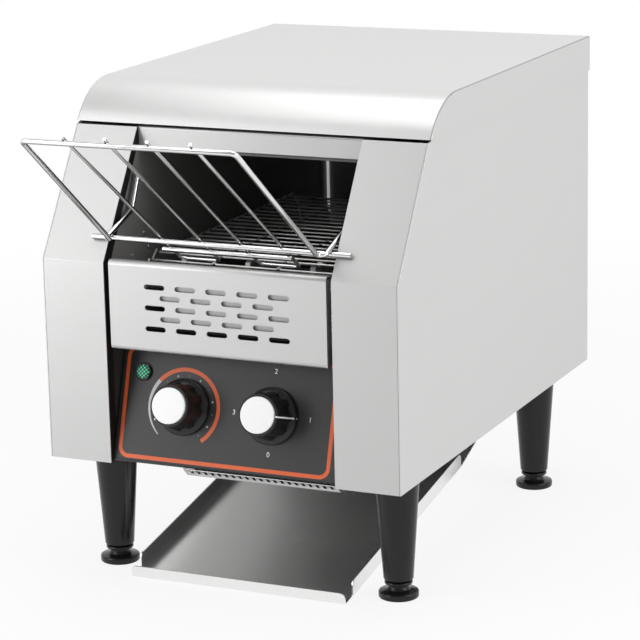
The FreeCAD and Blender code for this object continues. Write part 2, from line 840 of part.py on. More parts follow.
def conveyor_belt():
    """All strands of the belt, laid round the two shafts."""
    strand = belt_strand()
    strands = []
    for (y, z), normal in loop_places(idler_y, shaft_height, belt_radius, drive_y,
                                      shaft_height, belt_radius, belt_strands, belt_pitch):
        turned = strand.copy()
        turned.Placement = Placement(Vector(0, y, z),
                                     Rotation(Vector(1, 0, 0), math.degrees(normal) - 90.0))
        strands.append(turned)
    return strands


def toothed_disc(teeth, root, tip, root_width, tip_width, bore, x0, x1, y, z, start):
    """Disc with straight-sided teeth, its axis along X."""
    outline = []
    for i in range(teeth):
        middle = start + i * 2.0 * math.pi / teeth
        half_root = root_width / 2.0 / root
        half_tip = tip_width / 2.0 / tip
        for radius, angle in ((root, middle - half_root), (tip, middle - half_tip),
                              (tip, middle + half_tip), (root, middle + half_root)):
            outline.append((y + radius * math.cos(angle), z + radius * math.sin(angle)))
    disc = prism_x(outline, x0, x1)
    return disc.cut(rod(bore, Vector(x0 - 5.0, y, z), Vector(x1 + 5.0, y, z)))


def belt_sprockets(y):
    """Three sprockets whose teeth stand between the strands."""
    root = belt_radius - belt_wire / 2.0 - sprocket_gap
    tip = belt_radius + tooth_proud
    space = belt_pitch - belt_wire
    first = math.pi / 2.0 + math.pi / belt_teeth
    return [toothed_disc(belt_teeth, root, tip, space - 3.0, space - 6.0,
                         shaft_radius + 0.02, x - sprocket_width / 2.0,
                         x + sprocket_width / 2.0, y, shaft_height, first)
            for x in sprocket_places]


def belt_shaft(y, right_end):
    """Round shaft that reaches past the bushing on the left."""
    left_end = -wall_outer_x - bushing_flange - 6.0
    return rod(shaft_radius, Vector(left_end, y, shaft_height),
               Vector(right_end, y, shaft_height))


def bushings():
    """Plain bushes of both shafts, pressed into the inner walls."""
    pieces = []
    for y in (idler_y, drive_y):
        low = Vector(wall_x - 1.0, y, shaft_height)
        end = Vector(wall_outer_x + bushing_flange, y, shaft_height)
        bush = rod(bushing_radius, low, end)
        bore = rod(shaft_radius + running_gap, low - Vector(5, 0, 0), end + Vector(5, 0, 0))
        bush = bush.cut(bore)
        pieces.extend([bush, mirrored(bush)])
    return pieces


# Chain drive

def chain_radius(teeth):
    """Radius on which the chain runs."""
    return teeth * chain_pitch / (2.0 * math.pi)


def motor_distance():
    """Distance between the chain's two shafts for a whole number of links."""
    large = chain_radius(drive_teeth)
    small = chain_radius(motor_teeth)
    low = large + small
    high = chain_links * chain_pitch
    for _ in range(60):
        middle = (low + high) / 2.0
        tilt = math.asin((large - small) / middle)
        length = 2.0 * math.sqrt(middle ** 2 - (large - small) ** 2)
        length += large * (math.pi + 2.0 * tilt) + small * (math.pi - 2.0 * tilt)
        if length < chain_links * chain_pitch:
            low = middle
        else:
            high = middle
    return (low + high) / 2.0


def motor_place():
    """Where the output shaft of the motor lies: below and in front of the drive shaft."""
    angle = math.radians(motor_direction)
    reach = motor_distance()
    return drive_y + reach * math.cos(angle), shaft_height + reach * math.sin(angle)


def chain_places():
    """Places of the pins of the chain, with their outward normals."""
    motor_y, motor_z = motor_place()
    return loop_places(motor_y, motor_z, chain_radius(motor_teeth), drive_y, shaft_height,
                       chain_radius(drive_teeth), chain_links, chain_pitch)


def chain_strap(radius_change, x0, x1):
    """Solid inside a line that runs round both chain sprockets at a distance."""
    motor_y, motor_z = motor_place()
    small = chain_radius(motor_teeth) + radius_change
    large = chain_radius(drive_teeth) + radius_change
    reach = motor_distance()
    heading = math.atan2(shaft_height - motor_z, drive_y - motor_y)
    tilt = math.asin((large - small) / reach)
    corners = []
    for centre_y, centre_z, radius in ((motor_y, motor_z, small),
                                       (drive_y, shaft_height, large)):
        for side in (1, -1):
            angle = heading + side * (math.pi / 2.0 + tilt)
            corners.append((centre_y + radius * math.cos(angle),
                            centre_z + radius * math.sin(angle)))
    middle = prism_x([corners[0], corners[2], corners[3], corners[1]], x0, x1)
    ends = [rod(small, Vector(x0, motor_y, motor_z), Vector(x1, motor_y, motor_z)),
            rod(large, Vector(x0, drive_y, shaft_height), Vector(x1, drive_y, shaft_height))]
    return fuse_all([middle] + ends)


def drive_chain():
    """Chain: one band with a window between each two pins, where the teeth stand."""
    x0 = chain_plane_x - chain_width / 2.0
    x1 = chain_plane_x + chain_width / 2.0
    band = chain_strap(chain_height / 2.0, x0, x1).cut(chain_strap(-chain_height / 2.0, x0, x1))
    places = chain_places()
    window_length = chain_pitch - chain_bar
    cutters = []
    for i, (place, normal) in enumerate(places):
        after, next_normal = places[(i + 1) % len(places)]
        way = math.atan2(after[1] - place[1], after[0] - place[0])
        window = box(-chain_window / 2.0, chain_window / 2.0, -window_length / 2.0,
                     window_length / 2.0, -chain_height, chain_height)
        middle = Vector(chain_plane_x, (place[0] + after[0]) / 2.0,
                        (place[1] + after[1]) / 2.0)
        window.Placement = Placement(middle, Rotation(Vector(1, 0, 0), math.degrees(way)))
        cutters.append(window)
    return cut_all(band, cutters)


def chain_sprocket(teeth, y, z, bore, hub_radius, hub_end):
    """Sprocket whose teeth stand in the windows of the chain, with a hub on one side."""
    radius = chain_radius(teeth)
    root = radius - chain_height / 2.0 - sprocket_gap
    space = chain_pitch - chain_bar
    nearest = min(chain_places(), key=lambda p: abs(math.hypot(p[0][0] - y, p[0][1] - z)
                                                   - radius))
    on_arc = math.atan2(nearest[0][1] - z, nearest[0][0] - y)
    start = on_arc + math.pi / teeth
    x0 = chain_plane_x - chain_sprocket_width / 2.0
    x1 = chain_plane_x + chain_sprocket_width / 2.0
    disc = toothed_disc(teeth, root, radius + 1.4, space - 2.0, space - 3.6, bore, x0, x1, y, z,
                        start)
    low, high = sorted((chain_plane_x, hub_end))
    hub = rod(hub_radius, Vector(low, y, z), Vector(high, y, z))
    hub = hub.cut(rod(bore, Vector(low - 5.0, y, z), Vector(high + 5.0, y, z)))
    return fuse_all([disc, hub])


def gear_motor():
    """Gearbox plate and motor can, its shaft towards the inner wall."""
    y, z = motor_place()
    half = motor_plate / 2.0
    plate_end = motor_face_x + motor_plate_thickness
    plate = box(motor_face_x, plate_end, y - half, y + half, z - half, z + half)
    plate = plate.makeChamfer(6.0, [e for e in plate.Edges if e.BoundBox.XLength > 5.0])
    can = rod(motor_can_radius, Vector(plate_end, y, z),
              Vector(plate_end + motor_can_length, y, z))
    bore = rod(motor_shaft_radius + running_gap, Vector(motor_face_x - 1.0, y, z),
               Vector(motor_face_x + 8.5, y, z))
    return fuse_all([plate, can]).cut(bore)


def motor_shaft():
    """Output shaft of the gearbox."""
    y, z = motor_place()
    return rod(motor_shaft_radius, Vector(wall_outer_x + 1.5, y, z),
               Vector(motor_face_x + 8.0, y, z))


def motor_standoffs():
    """Four pillars between the inner wall and the gearbox."""
    y, z = motor_place()
    half = standoff_spacing / 2.0
    return [hexagon_rod(standoff_radius, Vector(wall_outer_x, y + dy * half, z + dz * half),
                        Vector(motor_face_x, y + dy * half, z + dz * half))
            for dy in (-1, 1) for dz in (-1, 1)]


# Heating

def elements(places, height):
    """Straight sheathed elements through both inner walls."""
    end = wall_outer_x + element_overrun
    return [rod(element_radius, Vector(-end, y, height), Vector(end, y, height))
            for y in places]


def element_terminals(places, height):
    """Ceramic ends of the elements, outside the chamber."""
    start = wall_outer_x + element_overrun
    pieces = []
    for y in places:
        for side in (-1, 1):
            pieces.append(hexagon_rod(terminal_radius, Vector(side * start, y, height),
                                      Vector(side * (start + terminal_length), y, height)))
    return pieces


# Cooling and wiring

def fan_frame():
    """Square frame of the fan with its hub plate and three struts."""
    low = sheet + base_sheet
    half = fan_size / 2.0
    block = box(fan_x - half, fan_x + half, fan_y - half, fan_y + half, low, low + fan_depth)
    tunnel = Part.makeCylinder(fan_bore_radius, fan_depth + 2.0, Vector(fan_x, fan_y, low - 1.0))
    frame = block.cut(tunnel)
    hub = Part.makeCylinder(fan_hub_radius, 3.0, Vector(fan_x, fan_y, low))
    pin = Part.makeCylinder(2.0, fan_depth - 4.0, Vector(fan_x, fan_y, low))
    struts = []
    for i in range(3):
        strut = box(fan_x, fan_x + fan_bore_radius + 1.0, fan_y - 2.0, fan_y + 2.0, low,
                    low + 2.4)
        strut.rotate(Vector(fan_x, fan_y, 0), Vector(0, 0, 1), 120.0 * i + 30.0)
        struts.append(strut)
    return fuse_all([frame, hub, pin] + struts)


def fan_rotor():
    """Hub with inclined blades."""
    low = sheet + base_sheet + 3.5
    top = sheet + base_sheet + fan_depth - 1.5
    hub = Part.makeCylinder(fan_hub_radius - 0.6, top - low, Vector(fan_x, fan_y, low))
    reach = fan_bore_radius - fan_blade_gap
    swept = Part.makeCylinder(reach, top - low, Vector(fan_x, fan_y, low))
    blades = []
    for i in range(fan_blades):
        blade = box(fan_x + fan_hub_radius - 3.0, fan_x + reach + 4.0, fan_y - 0.7, fan_y + 0.7,
                    low - 8.0, top + 8.0)
        blade.rotate(Vector(fan_x, fan_y, (low + top) / 2.0), Vector(1, 0, 0), 42.0)
        blade.rotate(Vector(fan_x, fan_y, 0), Vector(0, 0, 1), i * 360.0 / fan_blades)
        blades.append(blade.common(swept))
    rotor = fuse_all([hub] + blades)
    return rotor.cut(Part.makeCylinder(2.0 + running_gap, fan_depth, Vector(fan_x, fan_y, low - 2.0)))


def cord_gland():
    """Gland for a mains cord: collar outside, threaded body through the rear panel."""
    outside = body_depth
    inside = body_depth - sheet
    collar = rod(gland_collar_radius, Vector(gland_x, outside, gland_height),
                 Vector(gland_x, outside + 4.0, gland_height))
    mouth = Part.makeCone(gland_collar_radius - 1.5, gland_collar_radius - 4.0,
                          gland_stand_out - 4.0, Vector(gland_x, outside + 4.0, gland_height),
                          Vector(0, 1, 0))
    body = rod(gland_thread_radius, Vector(gland_x, inside - gland_inner_length, gland_height),
               Vector(gland_x, outside, gland_height))
    bore = rod(gland_bore_radius, Vector(gland_x, inside - 40.0, gland_height),
               Vector(gland_x, outside + 40.0, gland_height))
    return fuse_all([collar, mouth, body]).cut(bore)


def gland_nut():
    """Hexagonal nut that clamps the gland from inside."""
    y1 = body_depth - sheet
    y0 = y1 - gland_nut_thickness
    across = gland_collar_radius + 1.0
    outline = []
    for i in range(6):
        angle = math.radians(60.0 * i)
        outline.append(Vector(gland_x + across * math.cos(angle), y0,
                              gland_height + across * math.sin(angle)))
    nut = Part.Face(Part.makePolygon(outline + outline[:1])).extrude(Vector(0, y1 - y0, 0))
    return nut.cut(rod(gland_thread_radius, Vector(gland_x, y0 - 5.0, gland_height),
                       Vector(gland_x, y1 + 5.0, gland_height)))


def terminal_block():
    """Mains terminal block on the base, in the right-hand compartment."""
    x0 = 112.0
    block = box(x0, x0 + 20.0, 340.0, 388.0, sheet + base_sheet, sheet + base_sheet + 12.0)
    cutters = []
    for i in range(4):
        y = 346.0 + 12.0 * i
        cutters.append(box(x0 - 1.0, x0 + 6.0, y - 3.5, y + 3.5, 6.0, 12.0))
        cutters.append(box(x0 + 10.0, x0 + 16.0, y - 3.0, y + 3.0, 8.0, 20.0))
    return cut_all(block, cutters)


def limit_thermostat():
    """Snap-disc thermostat on the outside of the left inner wall."""
    y = 210.0
    z = 200.0
    face = -wall_outer_x
    flange = box(face - 1.2, face, y - 16.0, y + 16.0, z - 5.0, z + 5.0)
    can = rod(8.0, Vector(face, y, z), Vector(face - 10.0, y, z))
    tabs = [box(face - 18.0, face - 10.0, y + s * 4.0 - 2.5, y + s * 4.0 + 2.5, z - 0.4, z + 0.4)
            for s in (-1, 1)]
    return fuse_all([flange, can] + tabs)


# Loading rack

def rack_rod_y():
    """The rod lies against the sloping faces of the bezels."""
    off = (rack_wire_radius + rest_gap) / math.cos(math.radians(bezel_lean))
    return y_on_bezel(rack_rod_height) - off


def rack_arm_height(y):
    """Height of the arms' lower run, which lies on the rod and rises to the kink."""
    rise = rack_arm_kink_height - rack_rod_height
    run = rack_arm_kink_y - rack_rod_y()
    touch = 2.0 * rack_wire_radius + 0.05
    slope = math.atan2(rise, run) - math.asin(touch / math.hypot(rise, run))
    return rack_arm_kink_height - (rack_arm_kink_y - y) * math.tan(slope)


def wire_height(y):
    """Height of the inner wires, which lie on the rod, at a place behind or before it."""
    rise = rack_top_height - rack_rod_height
    run = rack_rod_y() - rack_top_y
    slope = math.atan2(rise, run)
    lift = (rack_wire_radius + thin_wire_radius + 0.05) / math.cos(slope)
    return rack_rod_height + lift - (y - rack_rod_y()) * math.tan(slope)


def rack_frame():
    """One thick wire: pivot end, arm, side, top bar, and the same back again."""
    start_y = rack_rod_y() - rack_arm_start_lead
    low = rack_arm_height(start_y)
    arm = rack_arm_half_width
    right = [(rack_top_half_width, rack_top_y, rack_top_height),
             (rack_half_width, rack_rod_y() - rack_side_end_lead, low),
             (arm, start_y, low),
             (arm, rack_arm_kink_y, rack_arm_kink_height),
             (arm, rack_pivot_y, rack_pivot_height),
             (wall_outer_x + 1.0, rack_pivot_y, rack_pivot_height)]
    left = [(-x, y, z) for x, y, z in reversed(right)]
    return bent_rod(left + right, rack_wire_radius, rack_bend)


def rack_bars():
    """Long rod across the mouth that rests on both bezels, and the short bar behind it, which
    lies under the inner wires."""
    y = rack_rod_y()
    rise = rack_top_height - rack_rod_height
    slope = math.atan2(rise, y - rack_top_y)
    drop = (rack_wire_radius + thin_wire_radius + 0.05) / math.cos(slope)
    z = wire_height(cross_bar_y) - drop
    return [rod(rack_wire_radius, Vector(-rack_rod_half_length, y, rack_rod_height),
                Vector(rack_rod_half_length, y, rack_rod_height)),
            rod(rack_wire_radius, Vector(-cross_bar_half_length, cross_bar_y, z),
                Vector(cross_bar_half_length, cross_bar_y, z))]


def rack_wires():
    """Two hairpins of thin wire over the rod, their tips on the top bar."""
    tip_y = rack_top_y - thin_wire_tip
    pieces = []
    for left, right in (thin_wire_places[:2], thin_wire_places[2:]):
        pieces.append(bent_rod([(left, tip_y, wire_height(tip_y)),
                                (left, thin_wire_end_y, wire_height(thin_wire_end_y)),
                                (right, thin_wire_end_y, wire_height(thin_wire_end_y)),
                                (right, tip_y, wire_height(tip_y))],
                               thin_wire_radius, 4.0))
    return pieces


# Discharge tray

def tray_floor(y):
    """Top of the tray at a distance from the front."""
    lip_top = tray_floor_at_lip + sheet
    if y <= tray_bend_y:
        return lip_top + (y - tray_lip_y) * math.tan(math.radians(tray_slope))
    bend = lip_top + (tray_bend_y - tray_lip_y) * math.tan(math.radians(tray_slope))
    return bend + (y - tray_bend_y) * math.tan(math.radians(tray_ramp_slope))


def discharge_tray():
    """Sheet tray: upright lip on the counter, sloping floor with side flanges, steeper ramp."""
    floor = bent_sheet([(tray_lip_y - tray_lip_lean, tray_floor_at_lip + tray_lip_height),
                        (tray_lip_y, tray_floor_at_lip),
                        (tray_bend_y, tray_floor(tray_bend_y) - sheet),
                        (tray_back_y, tray_floor(tray_back_y) - sheet)],
                       sheet, 0.6, -tray_half_width, tray_half_width)
    lip_top = tray_floor_at_lip + tray_lip_height
    floor = rounded_corners(floor, tray_corner_radius, lambda p: p.z > lip_top - sheet
                            and p.y < tray_lip_y and abs(p.x) > tray_half_width - 0.1)
    start = tray_flange_start_y
    end = tray_bend_y - 2.0
    outline = [(start, tray_floor(start) - 0.6), (end, tray_floor(end) - 0.6),
               (end, tray_floor(end) + tray_flange), (start, tray_floor(start) + tray_flange)]
    flange = prism_x(outline, tray_half_width - sheet, tray_half_width)
    flange = rounded_corners(flange, tray_corner_radius,
                             lambda p: p.z > tray_floor(p.y) + tray_flange - 0.1)
    return fuse_all([floor, flange, mirrored(flange)])


def tray_ledge():
    """Bracket on the base that carries the upper end of the ramp."""
    half = tray_half_width - 4.0
    back_y = tray_back_y + 3.0
    front_y = tray_back_y - ledge_depth
    slack = sheet + rest_gap / math.cos(math.radians(tray_ramp_slope))
    top_back = tray_floor(tray_back_y) - slack
    top_front = tray_floor(front_y) - slack
    ledge = prism_x([(front_y, top_front), (tray_back_y, top_back),
                     (tray_back_y, top_back - sheet), (front_y, top_front - sheet)],
                    -half, half)
    back = box(-half, half, tray_back_y - 0.1, back_y, top_back - sheet, top_back)
    upright = box(-half, half, back_y - sheet, back_y, top_back - sheet, sheet)
    return fuse_all([ledge, back, upright])


# Legs and feet

def leg(x, y):
    """Tapered leg with a bore for the stem of its foot."""
    low = leg_low_height - leg_height
    neck = foot_ring_height + foot_ring_thickness - leg_height + 0.1
    bore_top = neck + foot_stem_length + 6.0
    return revolve_z([(foot_stem_radius + running_gap, neck), (leg_neck_radius, neck),
                      (leg_low_radius, low), (leg_top_radius, -0.1), (0.0, -0.1),
                      (0.0, bore_top), (foot_stem_radius + running_gap, bore_top)], x, y)


def foot(x, y):
    """Levelling foot: round pad, ring and stem."""
    base = -leg_height
    ring = base + foot_ring_height
    waist = leg_neck_radius - 0.6
    return revolve_z([(0.0, base), (foot_radius - foot_edge, base),
                      (foot_radius, base + foot_edge), (foot_radius, base + foot_thickness),
                      (waist, base + foot_thickness + 1.2), (waist, ring),
                      (foot_ring_radius, ring), (foot_ring_radius, ring + foot_ring_thickness),
                      (foot_stem_radius, ring + foot_ring_thickness),
                      (foot_stem_radius, ring + foot_stem_length),
                      (0.0, ring + foot_stem_length)], x, y)


# Writing the pieces

def toaster():
    """All sub-parts by name."""
    drive_end = chain_plane_x + chain_width / 2.0 + 3.0
    idler_end = wall_outer_x + bushing_flange + 6.0
    motor_y, motor_z = motor_place()
    parts = {
        "top_cover": top_cover(),
        "right_side_panel": side_panel(),
        "left_side_panel": mirrored(side_panel()),
        "right_bezel": bezel(),
        "left_bezel": mirrored(bezel()),
        "rear_panel": rear_panel(),
        "base_plate": base_plate(),
        "right_inner_wall": inner_wall(True),
        "left_inner_wall": inner_wall(False),
        "mouth_header": mouth_header(),
        "upper_reflector": upper_reflector(),
        "heat_shield": heat_shield(),
        "chamber_back": chamber_back(),
        "front_grille": front_grille(),
        "grille_brackets": grille_brackets(),
        "control_panel": control_panel(),
        "vent_pan": vent_pan(),
        "colour_knob": on_panel(knob_body(), colour_knob_x, knob_height_on_panel),
        "colour_knob_cap": on_panel(knob_cap(), colour_knob_x, knob_height_on_panel),
        "colour_spindle": on_panel(spindle(), colour_knob_x, knob_height_on_panel),
        "speed_control": on_panel(speed_control(), colour_knob_x, knob_height_on_panel),
        "selector_knob": on_panel(knob_body(), selector_knob_x, knob_height_on_panel),
        "selector_knob_cap": on_panel(knob_cap(), selector_knob_x, knob_height_on_panel),
        "selector_spindle": on_panel(spindle(), selector_knob_x, knob_height_on_panel),
        "selector_switch": on_panel(rotary_switch(), selector_knob_x, knob_height_on_panel),
        "pilot_lamp_holder": on_panel(lamp_holder(), lamp_x, lamp_height_on_panel),
        "pilot_lamp_lens": on_panel(lamp_lens(), lamp_x, lamp_height_on_panel),
        "conveyor_belt": conveyor_belt(),
        "drive_shaft": belt_shaft(drive_y, drive_end),
        "drive_sprockets": belt_sprockets(drive_y),
        "idler_shaft": belt_shaft(idler_y, idler_end),
        "idler_sprockets": belt_sprockets(idler_y),
        "shaft_bushings": bushings(),
        "drive_chain": drive_chain(),
        "driven_chain_sprocket": chain_sprocket(drive_teeth, drive_y, shaft_height,
                                                shaft_radius + 0.02, 9.0, drive_end - 0.5),
        "motor_chain_sprocket": chain_sprocket(motor_teeth, motor_y, motor_z,
                                               motor_shaft_radius + 0.02, 7.0,
                                               chain_plane_x - 4.0),
        "motor_shaft": motor_shaft(),
        "gear_motor": gear_motor(),
        "motor_standoffs": motor_standoffs(),
        "upper_elements": elements(upper_element_places, upper_element_height),
        "lower_elements": elements(lower_element_places, lower_element_height),
        "element_terminals": (element_terminals(upper_element_places, upper_element_height)
                              + element_terminals(lower_element_places,
                                                  lower_element_height)),
        "fan_frame": fan_frame(),
        "fan_rotor": fan_rotor(),
        "cord_gland": cord_gland(),
        "gland_nut": gland_nut(),
        "terminal_block": terminal_block(),
        "limit_thermostat": limit_thermostat(),
        "rack_frame": rack_frame(),
        "rack_bars": rack_bars(),
        "rack_wires": rack_wires(),
        "discharge_tray": discharge_tray(),
        "tray_ledge": tray_ledge(),
    }
    parts["legs"] = []
    for side, x in (("left", -leg_x), ("right", leg_x)):
        for end, y in (("front", leg_front_y), ("rear", leg_rear_y)):
            parts["legs"].append(leg(x, y))
            parts["foot_" + end + "_" + side] = foot(x, y)
    return parts


def middle_y():
    """Half way between the rack's top bar and the back of the cord gland."""
    front = rack_top_y - rack_wire_radius
    return (front + body_depth + gland_stand_out) / 2.0


def write(parts):
    """Moves the origin to the counter under the middle of the toaster, and writes the parts."""
    os.makedirs("parts", exist_ok=True)
    shift = Vector(0, -middle_y(), leg_height)
    for name, shape in parts.items():
        solids = shape if isinstance(shape, list) else [shape]
        solids = [s.copy() for s in solids]
        for solid in solids:
            solid.translate(shift)
        whole = solids[0] if len(solids) == 1 else Part.makeCompound(solids)
        whole.exportStep("parts/" + name + ".step")
        print(name, len(whole.Solids), whole.isValid(), round(whole.Volume))


write(toaster())
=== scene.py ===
# %% [markdown]
# # A conveyor toaster, lesson by lesson
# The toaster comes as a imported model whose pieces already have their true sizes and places.
# This script dresses it: it gives each sheet, wire and knob its surface, replaces the pieces
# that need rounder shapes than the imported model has, and sets up a small photo studio.
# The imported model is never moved, because everything else is placed by it.

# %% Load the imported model
import math

import bpy
from mathutils import Matrix, Vector


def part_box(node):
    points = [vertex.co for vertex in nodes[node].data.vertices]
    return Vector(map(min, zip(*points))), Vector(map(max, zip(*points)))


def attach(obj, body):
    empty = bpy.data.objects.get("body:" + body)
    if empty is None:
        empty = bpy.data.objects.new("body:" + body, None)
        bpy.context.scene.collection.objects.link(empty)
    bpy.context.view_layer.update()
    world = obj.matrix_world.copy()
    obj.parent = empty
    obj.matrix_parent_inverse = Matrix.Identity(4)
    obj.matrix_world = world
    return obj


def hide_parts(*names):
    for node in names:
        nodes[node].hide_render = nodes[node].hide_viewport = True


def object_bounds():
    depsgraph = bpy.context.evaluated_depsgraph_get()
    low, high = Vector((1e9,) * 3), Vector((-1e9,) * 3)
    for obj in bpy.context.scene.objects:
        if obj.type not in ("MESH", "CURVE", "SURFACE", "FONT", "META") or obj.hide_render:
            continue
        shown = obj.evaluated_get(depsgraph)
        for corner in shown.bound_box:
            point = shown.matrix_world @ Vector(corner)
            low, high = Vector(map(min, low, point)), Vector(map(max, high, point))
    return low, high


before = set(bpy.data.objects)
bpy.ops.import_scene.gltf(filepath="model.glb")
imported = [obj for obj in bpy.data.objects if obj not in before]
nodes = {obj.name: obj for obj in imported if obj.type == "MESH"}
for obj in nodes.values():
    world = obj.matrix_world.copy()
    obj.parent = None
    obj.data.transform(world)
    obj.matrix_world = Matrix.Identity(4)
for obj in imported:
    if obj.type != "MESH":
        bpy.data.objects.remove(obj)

cad_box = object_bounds()
slot_of = {name: node.data.materials[0].name for name, node in nodes.items()}
print(f"{len(nodes)} pieces loaded, finishes {sorted(set(slot_of.values()))}")

# %% [markdown]
# ## A ruler for the toaster
# Blender measures in metres, but a toaster is drawn in millimetres. The drawing starts at the
# front plane of the upright bezels and at the bottom edge of the housing, and both can be read
# from the box round a bezel. One small function then turns drawing places into Blender places.

# %% Ruler
mm = 0.001
front_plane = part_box("right_bezel")[0].y
housing_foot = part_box("right_bezel")[0].z
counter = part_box("foot_front_left")[0].z


def at(x, y, z):
    """A place in the drawing's millimetres, as a point in metres."""
    return Vector((x * mm, front_plane + y * mm, housing_foot + z * mm))


print(f"front plane {front_plane:.4f} m, housing {(housing_foot - counter) / mm:.1f} mm up")

# %% [markdown]
# ## Writing a material as sums
# Blender draws a material as a web of nodes. Long webs are hard to read, so a small class
# stands for one socket of the web: adding or multiplying two of them adds the Math node that
# does it. Anything that isn't a sum is made by one method, which takes the kind of node, its
# settings, and what goes into its sockets.

# %% A socket that can be used in sums
class Shade:
    """A value or colour in a material, on which sums can be written."""

    def __init__(self, tree, socket=None):
        self.tree = tree
        self.socket = socket

    def node(self, kind, settings=None, inputs=None, output=0):
        """Adds any node: its settings are made first, then its sockets are filled."""
        made = self.tree.nodes.new("ShaderNode" + kind)
        for name, value in (settings or {}).items():
            setattr(made, name, value)
        for place, value in (inputs or {}).items():
            self.plug(made.inputs[place], value)
        return Shade(self.tree, made.outputs[output])

    def plug(self, place, value):
        """Links a Shade to a socket, or writes a plain value into it."""
        if isinstance(value, Shade):
            self.tree.links.new(value.socket, place)
        else:
            place.default_value = value

    def maths(self, operation, *values):
        """A Math node on this value and others."""
        return self.node("Math", {"operation": operation}, dict(enumerate(values)))

    def __add__(self, other):
        return self.maths("ADD", self, other)

    def __radd__(self, other):
        return self.maths("ADD", other, self)

    def __sub__(self, other):
        return self.maths("SUBTRACT", self, other)

    def __rsub__(self, other):
        return self.maths("SUBTRACT", other, self)

    def __mul__(self, other):
        return self.maths("MULTIPLY", self, other)

    def __rmul__(self, other):
        return self.maths("MULTIPLY", other, self)

    def __truediv__(self, other):
        return self.maths("DIVIDE", self, other)

    def __lt__(self, other):
        return self.maths("LESS_THAN", self, other)

    def __gt__(self, other):
        return self.maths("GREATER_THAN", self, other)

    def __abs__(self):
        return self.maths("ABSOLUTE", self)

    def smaller(self, other):
        """The smaller of two values."""
        return self.maths("MINIMUM", self, other)

    def larger(self, other):
        """The larger of two values."""
        return self.maths("MAXIMUM", self, other)

    def root(self):
        """The square root of a value."""
        return self.maths("SQRT", self)

    def dot(self, direction):
        """How far a place lies along a direction."""
        return self.node("VectorMath", {"operation": "DOT_PRODUCT"},
                         {0: self, 1: direction}, output="Value")

    def mix(self, first, second):
        """A colour between two, with this value as the share of the second."""
        return self.node("Mix", {"data_type": "RGBA"}, {0: self, 6: first, 7: second},
                         output=2)

    def ramp(self, low, high):
        """Rises from 0 to 1 in a soft step, between two values of this one."""
        return self.node("MapRange", {"interpolation_type": "SMOOTHSTEP"},
                         {0: self, 1: low, 2: high})


print("a socket can now be added, multiplied and compared")

# %% [markdown]
# ## Finishes start from one shader
# Every finish here is a Principled shader, because it covers metal, paint and plastic alike and
# survives export. Places on a surface are read from the object's own coordinates, which move
# with the piece, so that the grain of the tray stays on the tray when it slides out.

# %% Helpers for finishes
def grey(level, warmth=0.0):
    """A linear grey, a little warmer or cooler."""
    return (level * (1 + warmth), level, level * (1 - warmth), 1.0)


class Finish:
    """A material with one Principled shader."""

    def __init__(self, name):
        self.material = bpy.data.materials.new(name)
        self.material.use_nodes = True
        self.tree = self.material.node_tree
        self.shader = self.tree.nodes["Principled BSDF"]
        self.start = Shade(self.tree)
        self.place = self.start.node("TexCoord", output="Object")

    def set(self, **values):
        """Fills sockets of the shader; Base_Color stands for Base Color."""
        for name, value in values.items():
            self.start.plug(self.shader.inputs[name.replace("_", " ")], value)

    def drawn(self, axis):
        """One coordinate of a place, "x", "y" or "z", in the drawing's millimetres."""
        direction = [1 / mm if name == axis else 0.0 for name in "xyz"]
        origin = {"x": 0.0, "y": front_plane, "z": housing_foot}[axis]
        return self.place.dot(direction) - origin / mm

    def facing(self, direction):
        """How far the surface faces along a direction of its piece: 1, or -1 where away."""
        return self.start.node("TexCoord", output="Normal").dot(direction)

    def noise(self, size, detail=2.0, stretch=(1, 1, 1), roughness=0.5):
        """Cloudy noise whose blobs are about a size in millimetres, stretched or squeezed."""
        there = self.start.node("Mapping", None, {"Vector": self.place, "Scale": stretch})
        return self.start.node("TexNoise", None,
                               {"Vector": there, "Scale": 1 / (size * mm),
                                "Detail": detail, "Roughness": roughness})

    def bump(self, height, depth, strength=1.0):
        """Raises or sinks the surface by a height from 0 to 1, times a depth in millimetres."""
        self.set(Normal=self.start.node("Bump", None, {"Strength": strength,
                                                       "Distance": depth * mm,
                                                       "Height": height}))
        return self


print("finish helpers ready")

# %% [markdown]
# ## Stainless sheet
# The housing is folded from rolled stainless sheet. Up close it has a very fine grain along the
# rolling direction, and from afar soft clouds where it has been wiped. A picture of scratches
# would repeat, so the grain is noise that is drawn out fifty times longer along than across, and
# the clouds are the same noise left round. Both change the roughness, which is how a real sheet
# shows them: in its reflections more than in its colour. Where shade and dark reflections are
# painted into a sheet's colour, a small function says where, from the place on the drawing.

# %% Rolled sheet
grain_draw = 0.02
dark_tone, dark_warmth, dark_dullness = 0.012, 0.05, 0.2


def rolled_sheet(name, tone, grain, roughness=0.40, metallic=0.60, warmth=0.004, darkening=None):
    """Stainless sheet with its grain along one axis of the toaster: "x", "y" or "z". The last
    argument says where dark is painted in: painted shade, painted dark reflections and a darker
    hem."""
    made = Finish(name)
    squeeze = tuple(grain_draw if name == grain else 1 for name in "xyz")
    fine = made.noise(0.35, 3.0, squeeze, 0.6)
    clouds = made.noise(60.0, 2.0)
    smears = made.noise(14.0, 3.0, squeeze)
    tint = (fine - 0.5) * 0.16 + (clouds - 0.5) * 0.30 + (smears - 0.5) * 0.10 + 0.5
    colour = tint.mix(grey(tone * 0.94, warmth), grey(tone * 1.06, warmth))
    rough = (fine - 0.5) * 0.10 + (clouds - 0.5) * 0.08 + roughness
    # Painted shade and painted dark reflections go into the colour here, from the last argument.
    if darkening:
        dark = darkening(made)
        colour = dark.mix(colour, grey(dark_tone, dark_warmth))
        rough = rough + dark * dark_dullness
    made.set(Base_Color=colour, Metallic=metallic, Roughness=rough)
    made.bump(fine, 0.004, 0.35)
    return made.material


print("sheet roller ready")
